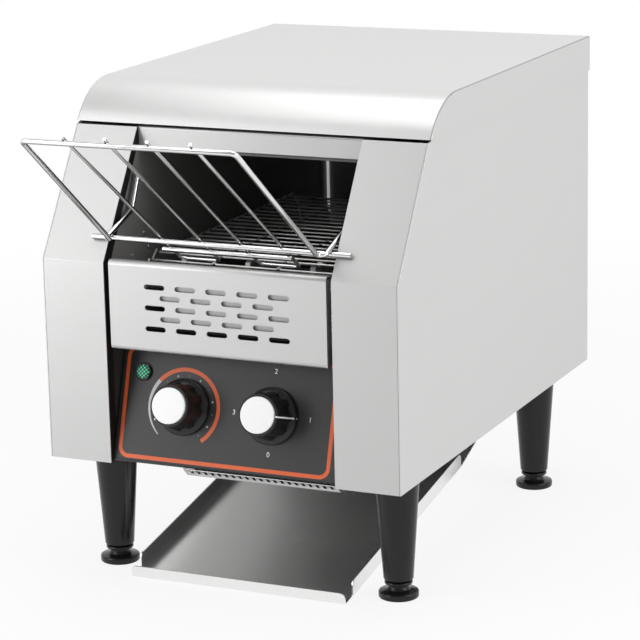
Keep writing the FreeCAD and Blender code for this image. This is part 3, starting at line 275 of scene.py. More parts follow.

# %% Where dark is painted on the sheets
kink_height = 154.1
bezel_lean = math.tan(math.radians(33.2))
mouth_edge = 93.4
seam_edge = 143.3
header_hem = 230.6
cover_fold = 143.7
left_flange = -60.0
belt_underside = (96.0, 108.0)
pan_fold = (3.1, 0.45)
pan_slope = (0.671, 0.741)
pan_floor = -5.8


def mouth_painted_shade(made):
    """Painted shade on the returns at the sides of the mouth, which look into the hot, dark
    chamber, and a painted thin shadow where a bezel meets its side panel."""
    x = abs(made.drawn("x"))
    depth = made.drawn("y") - (made.drawn("z") - kink_height).larger(0.0) * bezel_lean
    return ((x < mouth_edge) * depth.ramp(0.5, 1.1)).larger((x > seam_edge) * 0.8)


def hem_darkening(made):
    """The hem of the header, painted darker below the hem line."""
    return (1 - made.drawn("z").ramp(header_hem, header_hem + 0.6)) * 0.75


def fold_painted_reflection(made):
    """Painted reflection of the dark of the room on the narrow fold at the sides of the top
    cover.
    """
    lying = 1 - abs(made.facing((1, 0, 0))).ramp(0.75, 0.95)
    return abs(made.drawn("x")).ramp(cover_fold, cover_fold + 0.4) * lying * 0.45


def flange_shade(made):
    """Painted reflection of the dark underside on the inner face of the tray's left flange."""
    return made.facing((1, 0, 0)).ramp(0.6, 0.9) * (made.drawn("x") < left_flange) * 0.62


def wall_painted_shade(made):
    """Painted shade on the chamber walls below the belt."""
    return (1 - made.drawn("z").ramp(*belt_underside)) * 0.9


def pan_painted_shade(made):
    """Painted shade inside the vent pan: places deeper than half the sheet's thickness."""
    z = made.drawn("z")
    behind_front = ((made.drawn("y") - pan_fold[0]) * pan_slope[0]
                    + (z - pan_fold[1]) * pan_slope[1])
    return behind_front.smaller(z - pan_floor).ramp(0.35, 0.7)


print("six dark places known")

# %% Stainless finishes
finishes = {
    "front sheet": rolled_sheet("front_sheet", 0.57, "x"),
    "bezel sheet": rolled_sheet("bezel_sheet", 0.57, "x", darkening=mouth_painted_shade),
    "header sheet": rolled_sheet("header_sheet", 0.49, "x", darkening=hem_darkening),
    "pan sheet": rolled_sheet("pan_sheet", 0.62, "x", darkening=pan_painted_shade),
    "slot backing": rolled_sheet("slot_backing", 0.46, "x", 0.5, 0.3),
    "side sheet": rolled_sheet("side_sheet", 0.66, "y"),
    "cover sheet": rolled_sheet("cover_sheet", 0.65, "y", 0.34, darkening=fold_painted_reflection),
    "tray sheet": rolled_sheet("tray_sheet", 0.88, "y", 0.25, 0.95, darkening=flange_shade),
    # The chamber steel has a low tone, below the outer sheets: painted shade for the unlit
    # inside of the chamber.
    "chamber sheet": rolled_sheet("chamber_sheet", 0.25, "y", 0.55, 0.2, 0.02, wall_painted_shade),
    "under sheet": rolled_sheet("under_sheet", 0.40, "y", 0.40, 0.85),
}
print("stainless:", ", ".join(finishes))

# %% [markdown]
# ## Wire, moulded plastic and the small finishes
# The rack is bright drawn wire, the belt's wire has been through the heat and has gone brown and
# dull in patches, and the knobs, legs and feet are a black moulded plastic with the faint ripple
# that a moulding has. Each gets at least two scales of variation, one that changes the colour
# and one that changes the gloss.

# %% Wire, plastic and other finishes
def bright_wire():
    """Drawn and plated wire, with a painted dark reflection on its underside."""
    made = Finish("bright_wire")
    patches = made.noise(9.0, 3.0)
    fine = made.noise(0.6, 2.0)
    # Painted dark reflection: the underside of the wire is coloured nearly black.
    under = made.facing((-0.45, 0.0, -0.89)).ramp(0.25, 0.8)
    made.set(Base_Color=under.mix(patches.mix(grey(0.72), grey(0.86)), grey(0.07)), Metallic=1.0,
             Roughness=0.08 + patches * 0.06 + fine * 0.04)
    return made.bump(fine, 0.01, 0.3).material


def heated_metal(name, cool, hot, roughness, metallic=0.9):
    """Metal that has been hot, in two tones that run into one another."""
    made = Finish(name)
    patches = made.noise(22.0, 4.0)
    fine = made.noise(1.2, 3.0)
    made.set(Base_Color=patches.ramp(0.3, 0.7).mix(cool, hot), Metallic=metallic,
             Roughness=roughness + (fine - 0.5) * 0.2)
    return made.bump(fine, 0.02, 0.4).material


def moulded(name, tone, roughness, ripple=6.0, warmth=0.0, clearcoat=0.0, shine=0.5,
            dust_share=0.15):
    """Moulded plastic: one colour with a faint ripple and a few duller patches."""
    made = Finish(name)
    waves = made.noise(ripple, 2.0)
    dust = made.noise(0.9, 3.0)
    made.set(Base_Color=dust.mix(grey(tone * (1 - dust_share), warmth),
                                 grey(tone * (1 + dust_share), warmth)),
             Roughness=roughness + (waves - 0.5) * 0.10 + (dust - 0.5) * 0.06,
             Coat_Weight=clearcoat, Specular_IOR_Level=shine)
    return made.bump(waves, 0.03, 0.25).material


finishes.update({
    "rack wire": bright_wire(),
    "belt wire": heated_metal("belt_wire_brown", grey(0.66, 0.01), grey(0.86, 0.02), 0.34, 0.7),
    "machine steel": heated_metal("machine_steel", grey(0.34), grey(0.44, 0.02), 0.38),
    "bronze": heated_metal("bronze_bush", (0.42, 0.27, 0.11, 1), (0.52, 0.35, 0.16, 1), 0.45),
    "cast metal": heated_metal("cast_metal", grey(0.38), grey(0.46), 0.55, 0.85),
    "element sheath": heated_metal("element_sheath", grey(0.05, 0.1), grey(0.11, 0.2), 0.6),
    "black gloss": moulded("black_gloss", 0.010, 0.24, shine=0.32),
    "knob black": moulded("knob_black", 0.012, 0.30, 3.0, shine=0.40),
    "black matte": moulded("black_matte", 0.030, 0.58, 2.0),
    "white cap": moulded("white_cap", 0.95, 0.34, 20.0, dust_share=0.03),
    "ceramic": moulded("ceramic", 0.68, 0.22, 5.0, 0.05, 0.5),
    "terminal plastic": moulded("terminal_plastic", 0.62, 0.5, 4.0, 0.06),
})
print(f"{len(finishes)} finishes so far")

# %% [markdown]
# ## The printed control panel
# The panel is a dark painted plate with an orange line near its edge, a coloured scale round the
# left knob, and marks round the right one. The lines could be thin meshes, but real ink has no
# height, so they are painted by distance: the shader works out how far a place is from each
# line, and where that is less than half the line's width there is ink. The right line ends where
# the bezel and the grille cover the plate. The panel leans back, so places are first measured
# along and up the plate, in millimetres.

# %% Panel places
panel_lean = math.radians(17.0)
panel_foot = at(0, 3.0, 0.6)
panel_up = Vector((0, math.sin(panel_lean), math.cos(panel_lean)))
panel_out = Vector((0, -math.cos(panel_lean), math.sin(panel_lean)))
knob_row = 46.0
colour_x = -37.5
selector_x = 35.0
lamp_spot = (-73.7, 69.4)


def on_panel(x, up):
    """A place on the plate: along it and up it, in millimetres."""
    return panel_foot + Vector((x * mm, 0, 0)) + panel_up * (up * mm)


def panel_place(made):
    """A finish's places along and up the plate, in millimetres."""
    up = made.place.dot(tuple(panel_up / mm)) - panel_up.dot(panel_foot) / mm
    return made.drawn("x"), up


def panel_frame(x, up):
    """A frame on the plate whose Z points straight out of it."""
    side = Vector((1, 0, 0))
    turn = Matrix((side, panel_up, panel_out)).transposed().to_4x4()
    return Matrix.Translation(on_panel(x, up)) @ turn


print("knobs at", [tuple(round(c, 3) for c in on_panel(x, knob_row))
                   for x in (colour_x, selector_x)])

# %% Panel print
ink_edge = 0.18
bezel_hides = (80.0, 64.0)
border_left, border_right = -87.3, 84.0
border_foot, border_top = 5.5, 87.2
border_corner = 7.0
border_width = 3.0
scale_radius = 28.7
scale_width = 3.0
scale_from, scale_to, scale_end = -54.0, 139.0, 228.0
scale_middle = (colour_x - 0.2, knob_row - 0.7)
dot_ring = 24.2
dot_small, dot_large = 0.36, 0.66
dot_step, dot_count = 22.9, 9
dot_middle = 38.4
orange = (0.74, 0.122, 0.028, 1)
ink_white = grey(0.62)


def ink(distance, width):
    """1 on a line of some width, 0 off it, with an edge a fraction of a millimetre soft."""
    return 1 - (abs(distance) - width / 2).ramp(-ink_edge, ink_edge)


def panel_print():
    """Dark paint with the border, the scale and its dots."""
    made = Finish("panel_paint_printed")
    along, up = panel_place(made)
    middle = ((border_left + border_right) / 2, (border_foot + border_top) / 2)
    half = ((border_right - border_left) / 2 - border_corner,
            (border_top - border_foot) / 2 - border_corner)
    out_x = abs(along - middle[0]) - half[0]
    out_y = abs(up - middle[1]) - half[1]
    corner_x = out_x.larger(0.0)
    corner_y = out_y.larger(0.0)
    outside = (corner_x * corner_x + corner_y * corner_y).root()
    border = ink(outside + out_x.larger(out_y).smaller(0.0) - border_corner, border_width)
    border = border * (1 - (along > bezel_hides[0]) * (up > bezel_hides[1]))
    x = along - scale_middle[0]
    y = up - scale_middle[1]
    ring = (x * x + y * y).root()

    def turned(centre):
        """Degrees from a direction, from -180 to 180."""
        c, s = math.cos(math.radians(centre)), math.sin(math.radians(centre))
        return made.start.maths("ARCTAN2", y * c - x * s, x * c + y * s) * math.degrees(1)

    wide = turned((scale_from + scale_to) / 2)
    orange_arc = ink(ring - scale_radius, scale_width)
    orange_arc = orange_arc * (abs(wide) < (scale_to - scale_from) / 2)
    narrow = turned((scale_to + scale_end) / 2)
    share = narrow / (scale_end - scale_to) + 0.5
    taper = scale_width * (1 - share * 0.75)
    silver_arc = 1 - (abs(ring - scale_radius) - taper / 2).ramp(-ink_edge, ink_edge)
    silver_arc = silver_arc * (abs(narrow) < (scale_end - scale_to) / 2)
    step = turned(dot_middle) / dot_step
    place = made.start.maths("ROUND", step)
    large = made.start.maths("PINGPONG", place, 1.0)
    off = (step - place) * (math.radians(dot_step) * dot_ring)
    dot = (off * off + (ring - dot_ring) * (ring - dot_ring)).root()
    dots = 1 - (dot - dot_small - large * (dot_large - dot_small)).ramp(-ink_edge, ink_edge)
    dots = dots * (abs(step) < dot_count / 2) * (0.5 + large * 0.5)
    fine = made.noise(0.8, 3.0)
    clouds = made.noise(45.0, 2.0)
    paint = clouds.mix(grey(0.020, -0.02), grey(0.028, -0.02))
    colour = border.larger(orange_arc).mix(paint, orange)
    colour = (silver_arc * 0.9).larger(dots).mix(colour, ink_white)
    made.set(Base_Color=colour, Roughness=0.42 + (fine - 0.5) * 0.12 + (clouds - 0.5) * 0.06)
    return made.bump(fine, 0.01, 0.5).material


finishes["panel"] = panel_print()
print("panel print ready")

# %% [markdown]
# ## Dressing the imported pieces
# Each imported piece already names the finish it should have. Most only need the richer version
# of that finish. The stainless pieces are told apart by name, so that the grain of each runs the
# way its sheet was rolled.

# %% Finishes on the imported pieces
finish_of_slot = {
    "stainless": "front sheet", "chamber_steel": "chamber sheet", "panel_paint": "panel",
    "black_gloss": "black gloss", "white_cap": "white cap", "rack_wire": "rack wire",
    "belt_wire": "belt wire", "machine_steel": "machine steel", "bronze": "bronze",
    "motor_metal": "cast metal", "element_sheath": "element sheath", "ceramic": "ceramic",
    "black_matte": "black matte", "terminal_plastic": "terminal plastic",
    "green_lens": "ceramic",
}
finish_of_node = {
    "top_cover": "cover sheet", "right_side_panel": "side sheet",
    "left_side_panel": "side sheet", "rear_panel": "side sheet",
    "discharge_tray": "tray sheet", "base_plate": "under sheet",
    "tray_ledge": "under sheet", "colour_knob": "knob black", "selector_knob": "knob black",
    "left_bezel": "bezel sheet", "right_bezel": "bezel sheet",
    "mouth_header": "header sheet",
}
for name, node in nodes.items():
    wanted = finish_of_node.get(name, finish_of_slot[slot_of[name]])
    node.data.materials[0] = finishes[wanted]
print(f"{len(nodes)} pieces dressed")

# %% [markdown]
# ## Edges that catch the light
# A folded sheet has no knife edge: its rim and its folds are a quarter of a millimetre round,
# and that thin line is what the eye reads as metal. A Bevel modifier adds it without changing
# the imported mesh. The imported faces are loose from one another, so a Weld modifier joins them
# first.

# %% Soft edges on folded sheets
edge_round = 0.25 * mm
weld_reach = 0.002 * mm
fold_angle = math.radians(30)
folded = ["right_side_panel", "left_side_panel", "right_bezel", "left_bezel", "mouth_header",
          "front_grille", "discharge_tray", "rear_panel"]
for name in folded:
    node = nodes[name]
    weld = node.modifiers.new("join", "WELD")
    weld.merge_threshold = weld_reach
    soft = node.modifiers.new("edge", "BEVEL")
    soft.width = edge_round
    soft.segments = 2
    soft.limit_method = "ANGLE"
    soft.angle_limit = fold_angle
    soft.harden_normals = True
    soft.use_clamp_overlap = True
print("soft edges on", len(folded), "sheets")

# %% [markdown]
# ## Bent wire
# A wire bender feeds straight wire and turns it in short arcs. A Bezier curve does the same: two
# points at each corner, one where the arc starts and one where it ends, with handles as long as
# an arc of that angle needs. The curve is given a round section and then made into a mesh.

# %% Bent wire helper
def add_piece(name, mesh, finish, body, smooth=35.0):
    """Puts a mesh into the scene as a piece that rides on a body."""
    mesh.polygons.foreach_set("use_smooth", [True] * len(mesh.polygons))
    mesh.set_sharp_from_angle(angle=math.radians(smooth))
    piece = bpy.data.objects.new(name, mesh)
    bpy.context.scene.collection.objects.link(piece)
    mesh.materials.clear()
    mesh.materials.append(finishes[finish])
    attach(piece, body)
    return piece


def bent_wire(name, points, radius, bend=4.0):
    """The mesh of a round wire through points, its corners turned on a radius."""
    curve = bpy.data.curves.new(name, "CURVE")
    curve.dimensions = "3D"
    curve.bevel_depth = radius * mm
    curve.bevel_resolution = 5
    curve.resolution_u = 6
    curve.use_fill_caps = True
    knots = [(points[0], Vector(), Vector())]
    for before, here, after in zip(points, points[1:], points[2:]):
        into = (here - before).normalized()
        out = (after - here).normalized()
        angle = into.angle(out)
        reach = bend * mm * math.tan(angle / 2)
        handle = bend * mm * math.tan(angle / 4) * 4 / 3
        knots.append((here - into * reach, into * -handle, into * handle))
        knots.append((here + out * reach, out * -handle, out * handle))
    knots.append((points[-1], Vector(), Vector()))
    spline = curve.splines.new("BEZIER")
    spline.bezier_points.add(len(knots) - 1)
    for point, (place, left, right) in zip(spline.bezier_points, knots):
        point.handle_left_type = point.handle_right_type = "FREE"
        point.co = place
        point.handle_left = place + left
        point.handle_right = place + right
    holder = bpy.data.objects.new(name + "_line", curve)
    mesh = bpy.data.meshes.new_from_object(holder)
    bpy.data.objects.remove(holder)
    mesh.name = name
    return mesh


print("wire bender ready")

# %% [markdown]
# ## The loading rack
# Bread is laid on a rack that leans over the mouth. One thick wire makes its sides and top, two
# arms hold it in the walls of the mouth, a long rod lies across the bezels, and two thin
# hairpins with their tips over the top bar carry the bread. The places repeat the drawing's.

# %% Rack places
rack_top = (-125.4, 267.4)
rack_kink = (40.03, 186.7)
rack_pivot = (52.22, 212.5)
rod_place = (8.90, 171.9)
cross_bar_y = 21.0
thick_wire, thin_wire = 2.0, 1.3
top_x, side_x, arm_x = 81.3, 83.5, 88.5
rod_half, cross_bar_half, pivot_end = 104.6, 52.5, 95.2
frame_bend, lie_gap = 3.6, 0.05
wire_columns = (-49.0, -16.2, 16.2, 49.0)
rack_slope = math.atan2(rack_top[1] - rod_place[1], rod_place[0] - rack_top[0])


def arm_height(y):
    """Height of an arm's lower run, which lies on the rod and rises to the kink."""
    rise = rack_kink[1] - rod_place[1]
    run = rack_kink[0] - rod_place[0]
    slope = math.atan2(rise, run) - math.asin((2 * thick_wire + lie_gap)
                                               / math.hypot(rise, run))
    return rack_kink[1] - (rack_kink[0] - y) * math.tan(slope)


def thin_height(y):
    """Height of the thin wires, which lie on the rod."""
    lift = (thick_wire + thin_wire + lie_gap) / math.cos(rack_slope)
    return rod_place[1] + lift - (y - rod_place[0]) * math.tan(rack_slope)


print(f"rack slope {math.degrees(rack_slope):.1f} degrees")

# %% Rack pieces
def mirrored_path(right):
    """A path given from its middle to the right-hand end, with its mirror image before it."""
    left = [Vector((-p.x, p.y, p.z)) for p in reversed(right)]
    return left + right


side_end_y, arm_start_y = rod_place[0] - 12.4, rod_place[0] - 8.4
arm_low = arm_height(arm_start_y)
frame_path = mirrored_path([at(top_x, *rack_top), at(side_x, side_end_y, arm_low),
                            at(arm_x, arm_start_y, arm_low), at(arm_x, *rack_kink),
                            at(arm_x, *rack_pivot), at(pivot_end, *rack_pivot)])
frame_mesh = bent_wire("rack_bent_frame", frame_path, thick_wire, frame_bend)
rack_side = add_piece("rack_bent_frame", frame_mesh, "rack wire", "rack")
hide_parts("rack_frame")

drop = (thick_wire + thin_wire + lie_gap) / math.cos(rack_slope)
cross_bar_place = (cross_bar_y, thin_height(cross_bar_y) - drop)
for label, half, place in (("rod", rod_half, rod_place),
                           ("cross_bar", cross_bar_half, cross_bar_place)):
    mesh = bent_wire("rack_" + label, [at(-half, *place), at(half, *place)], thick_wire)
    bar = add_piece("rack_" + label, mesh, "rack wire", "rack")
    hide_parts("rack_bars")

tip_y, loop_y = rack_top[0] - 0.8, 42.0
for i, (left, right) in enumerate((wire_columns[:2], wire_columns[2:])):
    path = [at(left, tip_y, thin_height(tip_y)), at(left, loop_y, thin_height(loop_y)),
            at(right, loop_y, thin_height(loop_y)), at(right, tip_y, thin_height(tip_y))]
    hairpin = add_piece(f"rack_hairpin_{i}", bent_wire(f"rack_hairpin_{i}", path, thin_wire),
                        "rack wire", "rack")
    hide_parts("rack_wires")
print("rack built from 5 wires")

# %% [markdown]
# ## The wire belt
# The belt is a ladder of wires: each crosses the belt, hooks into the next at both edges and has
# two small kinks where the links interlock. One wire is bent on the same bender and then copied
# to its place along the loop: over the top run, round the rear shaft, back below and round the
# front shaft.

# %% Belt wires
belt_pitch, belt_wire, belt_half = 12.7, 0.8, 80.0
belt_radius, belt_count, belt_bend = 24.255, 48, 0.9
front_shaft, rear_shaft = (64.0, 125.745), (292.6, 125.745)
kink_depth, kink_half = 2.4, 1.7
hook_gap, hook_in = 0.35, 1.2


def belt_wire_path():
    """One wire of the belt in plan, from edge to edge."""
    hook = belt_pitch - belt_wire - hook_gap
    path = [(-belt_half, hook), (-belt_half + hook_in, 0.0)]
    for x in (-belt_half / 3, belt_half / 3):
        path += [(x - kink_half, 0.0), (x, kink_depth), (x + kink_half, 0.0)]
    path += [(belt_half - hook_in, 0.0), (belt_half, hook)]
    return [Vector((x * mm, y * mm, 0.0)) for x, y in path]


def belt_place(i):
    """Place and turn of one wire, counted from where the top run leaves the front shaft."""
    along = i * belt_pitch
    run = rear_shaft[0] - front_shaft[0]
    half_round = belt_radius * math.pi
    if along <= run:
        y, z, turn = front_shaft[0] + along, front_shaft[1] + belt_radius, 0.0
    elif along <= run + half_round:
        turn = -(along - run) / belt_radius
        y = rear_shaft[0] - belt_radius * math.sin(turn)
        z = rear_shaft[1] + belt_radius * math.cos(turn)
    elif along <= 2 * run + half_round:
        y = rear_shaft[0] - (along - run - half_round)
        z, turn = rear_shaft[1] - belt_radius, math.pi
    else:
        turn = math.pi - (along - 2 * run - half_round) / belt_radius
        y = front_shaft[0] - belt_radius * math.sin(turn)
        z = front_shaft[1] + belt_radius * math.cos(turn)
    return Matrix.Translation(at(0, y, z)) @ Matrix.Rotation(turn, 4, "X")


one_wire = bent_wire("belt_wire", belt_wire_path(), belt_wire, belt_bend)
wire_points = [v.co.copy() for v in one_wire.vertices]
wire_faces = [tuple(face.vertices) for face in one_wire.polygons]
belt_points, belt_faces = [], []
for i in range(belt_count):
    start = len(belt_points)
    placed = belt_place(i)
    belt_points += [placed @ point for point in wire_points]
    belt_faces += [tuple(start + corner for corner in face) for face in wire_faces]
belt_mesh = bpy.data.meshes.new("belt_wires")
belt_mesh.from_pydata(belt_points, [], belt_faces)
belt = add_piece("belt_wires", belt_mesh, "belt wire", "housing")
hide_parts("conveyor_belt")
print(f"{belt_count} belt wires, {len(belt_faces)} faces")

# %% [markdown]
# ## Turned shapes
# Legs, feet, knobs and the lamp are all turned or moulded round an axis. Their outlines are
# short lists of radius and height; `soften` puts a small arc at every corner, and `lathe` spins
# the outline. A second function may push the radius in and out with the angle, which is how the
# flutes of the knobs are made.

# %% Lathe
def soften(outline, radius, steps=4):
    """An outline with a small arc in place of each inner corner."""
    points = [Vector(outline[0])]
    for before, here, after in zip(outline, outline[1:], outline[2:]):
        here = Vector(here)
        into = here - Vector(before)
        out = Vector(after) - here
        angle = into.angle(out)
        if angle < math.radians(8):
            points.append(here)
            continue
        reach = min(radius * math.tan(angle / 2), into.length * 0.45, out.length * 0.45)
        start = here - into.normalized() * reach
        end = here + out.normalized() * reach
        for i in range(steps + 1):
            t = i / steps
            points.append(start * (1 - t) ** 2 + here * (2 * t * (1 - t)) + end * t ** 2)
    points.append(Vector(outline[-1]))
    return points


def lathe(name, outline, frame_matrix, steps=72, shape=None):
    """Spins an outline of (radius, height) in millimetres round Z, then places it."""
    vertices = []
    faces = []
    rings = []
    for radius, height in outline:
        if radius < 1e-6:
            rings.append([len(vertices)] * steps)
            vertices.append((0, 0, height * mm))
            continue
        ring = []
        for i in range(steps):
            angle = 2 * math.pi * i / steps
            r = shape(radius, height, angle) if shape else radius
            ring.append(len(vertices))
            vertices.append((r * mm * math.cos(angle), r * mm * math.sin(angle), height * mm))
        rings.append(ring)
    for low, high in zip(rings, rings[1:]):
        for i in range(steps):
            j = (i + 1) % steps
            corners = [low[i], low[j], high[j], high[i]]
            corners = [c for k, c in enumerate(corners) if c not in corners[:k]]
            if len(corners) > 2:
                faces.append(corners)
    mesh = bpy.data.meshes.new(name)
    mesh.from_pydata(vertices, [], faces)
    mesh.transform(frame_matrix)
    mesh.update()
    return mesh


print("lathe ready")

# %% [markdown]
# ## Legs and feet
# Four tapered legs of black plastic stand under the corners. Under each is a foot that screws in
# and out to level the toaster: a round pad with a soft rim and a narrower ring above it.

# %% Legs and feet
leg_height = 96.8
leg_edge, foot_edge = 1.2, 1.4
leg_x = 118.0
leg_rows = {"front": 54.4, "rear": 349.2}
leg_outline = [(4.05, 13.1), (8.6, 13.1), (11.3, 14.5), (17.0, 96.7), (0.0, 96.7)]
foot_outline = [(0.0, 0.0), (15.2, 0.0), (15.2, 5.0), (9.0, 6.4), (7.6, 8.4), (7.6, 10.4),
                (10.6, 10.4), (10.6, 13.0), (4.0, 13.0)]
for row, y in leg_rows.items():
    for side, x in (("left", -leg_x), ("right", leg_x)):
        stand = Matrix.Translation(at(x, y, -leg_height))
        name = f"leg_{row}_{side}"
        leg = add_piece(name, lathe(name, soften(leg_outline, leg_edge), stand),
                        "black gloss", "housing")
        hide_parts("legs")
        name = f"pad_{row}_{side}"
        foot = add_piece(name, lathe(name, soften(foot_outline, foot_edge), stand),
                         "black gloss", f"{row}_{side}_foot")
        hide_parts(f"foot_{row}_{side}")
print("four legs on four feet")

# %% [markdown]
# ## Fluted knobs
# Each knob is one moulding: a flat skirt, and a grip with nine hollow flutes so that it can be
# turned with floury hands. A white disc is let into its face. The flutes are parts of circles
# that stand outside the grip; on a ray at some angle from a flute's middle the circle is met at
# a radius that one line of geometry gives.

# %% Knobs
flutes, flute_radius, flute_depth = 9, 5.2, 2.3
grip_low, grip_top, grip_foot = 18.2, 15.6, 4.9
grip_wall = (12.0, grip_low + 0.3)
flute_turn = 20.0
knob_steps = 180


def fluted(radius, height, angle):
    """Radius of the grip at an angle, less the hollow of the nearest flute."""
    if not grip_wall[0] <= radius <= grip_wall[1] or height < grip_foot:
        return radius
    pitch = 2 * math.pi / flutes
    away = (angle + pitch / 2) % pitch - pitch / 2
    centre = grip_low + flute_radius - flute_depth
    under = flute_radius ** 2 - (centre * math.sin(away)) ** 2
    if under <= 0:
        return radius
    return min(radius, centre * math.cos(away) - math.sqrt(under))


knob_outline = [(0.0, 0.6), (21.3, 0.6), (21.3, 2.8), (20.4, 3.9), (18.9, 4.6), (grip_low, 5.2),
                (grip_low - 0.3, 7.0), (16.9, 15.0), (grip_top, 24.4), (15.0, 25.0),
                (14.1, 25.0), (14.1, 23.6), (0.0, 23.6)]
cap_outline = [(0.0, 23.6), (13.6, 23.6), (13.6, 25.8), (13.2, 26.3), (6.0, 26.3), (0.0, 26.3)]
pointer_width, pointer_high = 1.1, 0.12


def pointer(name, matrix, angle):
    """White line down one side of a knob: off the rim, down the grip and over the skirt."""
    line = [(14.3, 25.0), (15.2, 25.0), (grip_top + 0.3, 24.0), (grip_low + 0.2, 5.6),
            (19.2, 4.7), (21.3, 2.5)]
    across = math.radians(angle)
    out = Vector((math.cos(across), math.sin(across), 0))
    side = Vector((-math.sin(across), math.cos(across), 0)) * (pointer_width / 2 * mm)
    vertices = []
    for radius, height in line:
        for lift in (0.0, pointer_high):
            middle = out * ((radius + lift) * mm) + Vector((0, 0, (height + lift) * mm))
            vertices.extend([middle - side, middle + side])
    faces = []
    for i in range(len(line) - 1):
        a, b = 4 * i, 4 * i + 4
        faces.extend([(a + 2, a + 3, b + 3, b + 2), (a, a + 2, b + 2, b),
                      (a + 3, a + 1, b + 1, b + 3)])
    mesh = bpy.data.meshes.new(name)
    mesh.from_pydata(vertices, [], faces)
    mesh.transform(matrix)
    mesh.update()
    return mesh


for label, x, body, angle in (("colour", colour_x, "colour_control", 226.0),
                              ("selector", selector_x, "selector", 0.0)):
    matrix = panel_frame(x, knob_row)
    turned_matrix = matrix @ Matrix.Rotation(math.radians(angle + flute_turn), 4, "Z")
    grip_mesh = lathe(label + "_grip", soften(knob_outline, 0.7), turned_matrix, knob_steps,
                      fluted)
    grip = add_piece(label + "_grip", grip_mesh, "knob black", body)
    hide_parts(label + "_knob")
    disc_mesh = lathe(label + "_disc", soften(cap_outline, 0.5), matrix)
    cap = add_piece(label + "_disc", disc_mesh, "white cap", body)
    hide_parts(label + "_knob_cap")
    add_piece(label + "_pointer", pointer(label + "_pointer", matrix, angle), "white cap", body)
print("two knobs with discs and pointers")

# %% [markdown]
# ## Numbers on the dial
# The selector has four places, marked here with plain numbers. A text object is the quick way
# to a numeral; made into a mesh, it lies on the plate like raised ink.

# %% Numerals
numeral_height, numeral_rise = 5.2, 0.02
numeral_places = {"0": (0.0, -28.5), "1": (31.0, 0.0), "2": (0.0, 33.0), "3": (-31.0, 0.0)}
for text, (x, up) in numeral_places.items():
    curve = bpy.data.curves.new("numeral_" + text, "FONT")
    curve.body = text
    curve.size = numeral_height * mm
    curve.align_x = "CENTER"
    curve.align_y = "CENTER"
    curve.extrude = numeral_rise * mm
    holder = bpy.data.objects.new("numeral_line", curve)
    bpy.context.scene.collection.objects.link(holder)
    mesh = bpy.data.meshes.new_from_object(holder)
    bpy.data.objects.remove(holder)
    mesh.transform(panel_frame(selector_x + x, knob_row + up))
    add_piece("numeral_" + text, mesh, "white cap", "housing")
print("numerals", ", ".join(numeral_places))

# %% [markdown]
# ## The pilot lamp
# A green lens glows beside the scale while the heaters are on. Its face is a field of small
# pyramids that break up the light of the lamp behind it. At this size a pattern in the shader is
# enough: two zigzags that cross on the slant add up to a field of pyramids, which is painted
# darker in the valleys as painted shade and, as a bump, makes the tips catch the light.

# %% Pilot lamp
lens_pitch = 3.0
lens_steps = 48


def green_lens():
    """Green moulded lens with a fine grid of pyramids, lit a little from inside, with painted
    shade in its valleys.
    """
    made = Finish("green_lens_pyramids")
    along, up = panel_place(made)
    along, up = along - lamp_spot[0], up - lamp_spot[1]
    rising = made.start.maths("PINGPONG", along + up, lens_pitch / 2)
    falling = made.start.maths("PINGPONG", along - up, lens_pitch / 2)
    tip = (rising + falling) / lens_pitch
    glow = tip.ramp(0.45, 0.70)
    # The darker colour in the valleys is painted shade; the emission is the pilot lamp's own
    # light.
    made.set(Base_Color=glow.mix((0.001, 0.04, 0.02, 1), (0.14, 0.78, 0.48, 1)),
             Roughness=0.3 + glow * 0.1,
             Emission_Color=glow.mix((0.0, 0.0, 0.0, 1), (0.08, 0.50, 0.28, 1)),
             Emission_Strength=0.4)
    return made.bump(tip, 0.25, 0.8).material


finishes["green lens"] = green_lens()
lens_outline = [(0.0, 0.4), (5.3, 0.4), (5.3, 1.7), (4.6, 2.5), (2.4, 2.9), (0.0, 3.0)]
ring_outline = [(5.35, 0.0), (6.8, 0.0), (6.8, 1.2), (6.2, 1.9), (5.5, 1.9), (5.35, 1.5)]
lamp_at = panel_frame(*lamp_spot)
lens = add_piece("lamp_lens", lathe("lamp_lens", soften(lens_outline, 0.5), lamp_at, lens_steps),
                 "green lens", "housing")
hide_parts("pilot_lamp_lens")
add_piece("lamp_ring", lathe("lamp_ring", soften(ring_outline, 0.3), lamp_at, lens_steps),
          "black gloss", "housing")
print("pilot lamp lit")

# %% [markdown]
# ## The sheet behind the slots
# Close behind the grille is a bright sheet that keeps crumbs off the heaters. It is seen only
# through the slots: it ends above the lowest row and short of the first column, which is why
# those slots look black.

# %% Sheet behind the slots
backing_front, backing_sheet = 2.6, 0.8
backing_parts = [(-42.9, 76.0, 110.4, 146.0), (-48.0, -42.9, 111.5, 118.3),
                 (-48.0, -42.9, 127.3, 134.1)]
backing_points, backing_faces = [], []
for left, right, low, high in backing_parts:
    first = len(backing_points)
    backing_points += [at(x, backing_front + depth, z) for depth in (0.0, backing_sheet)
                       for x, z in ((left, low), (right, low), (right, high), (left, high))]
    backing_faces += [[first + corner for corner in face] for face in
                      ((0, 1, 2, 3), (7, 6, 5, 4), (1, 0, 4, 5), (2, 1, 5, 6), (3, 2, 6, 7),
                       (0, 3, 7, 4))]
backing_mesh = bpy.data.meshes.new("slot_backing")
backing_mesh.from_pydata(backing_points, [], backing_faces)
add_piece("slot_backing", backing_mesh, "slot backing", "housing", 30.0)
print("sheet behind the slots, with two tabs")

# %% [markdown]
# ## The vent pan
# Under the controls hangs a shallow pan, folded from one sheet, whose sloping front lets cool
# air in through a row of slots. The sheet is drawn as a strip of faces with gaps where the slots
# are, and a Solidify modifier then gives it its thickness.

# %% Vent pan
pan_left, pan_right, pan_sheet = -33.0, 92.0, 1.0
pan_outline = [pan_fold, (10.0, pan_floor), (45.5, pan_floor), (52.0, -1.0), (58.0, -1.0)]
slot_count, slot_step, slot_width, slot_start = 21, 5.7, 2.9, 6.0
slot_from, slot_to = 0.04, 0.68


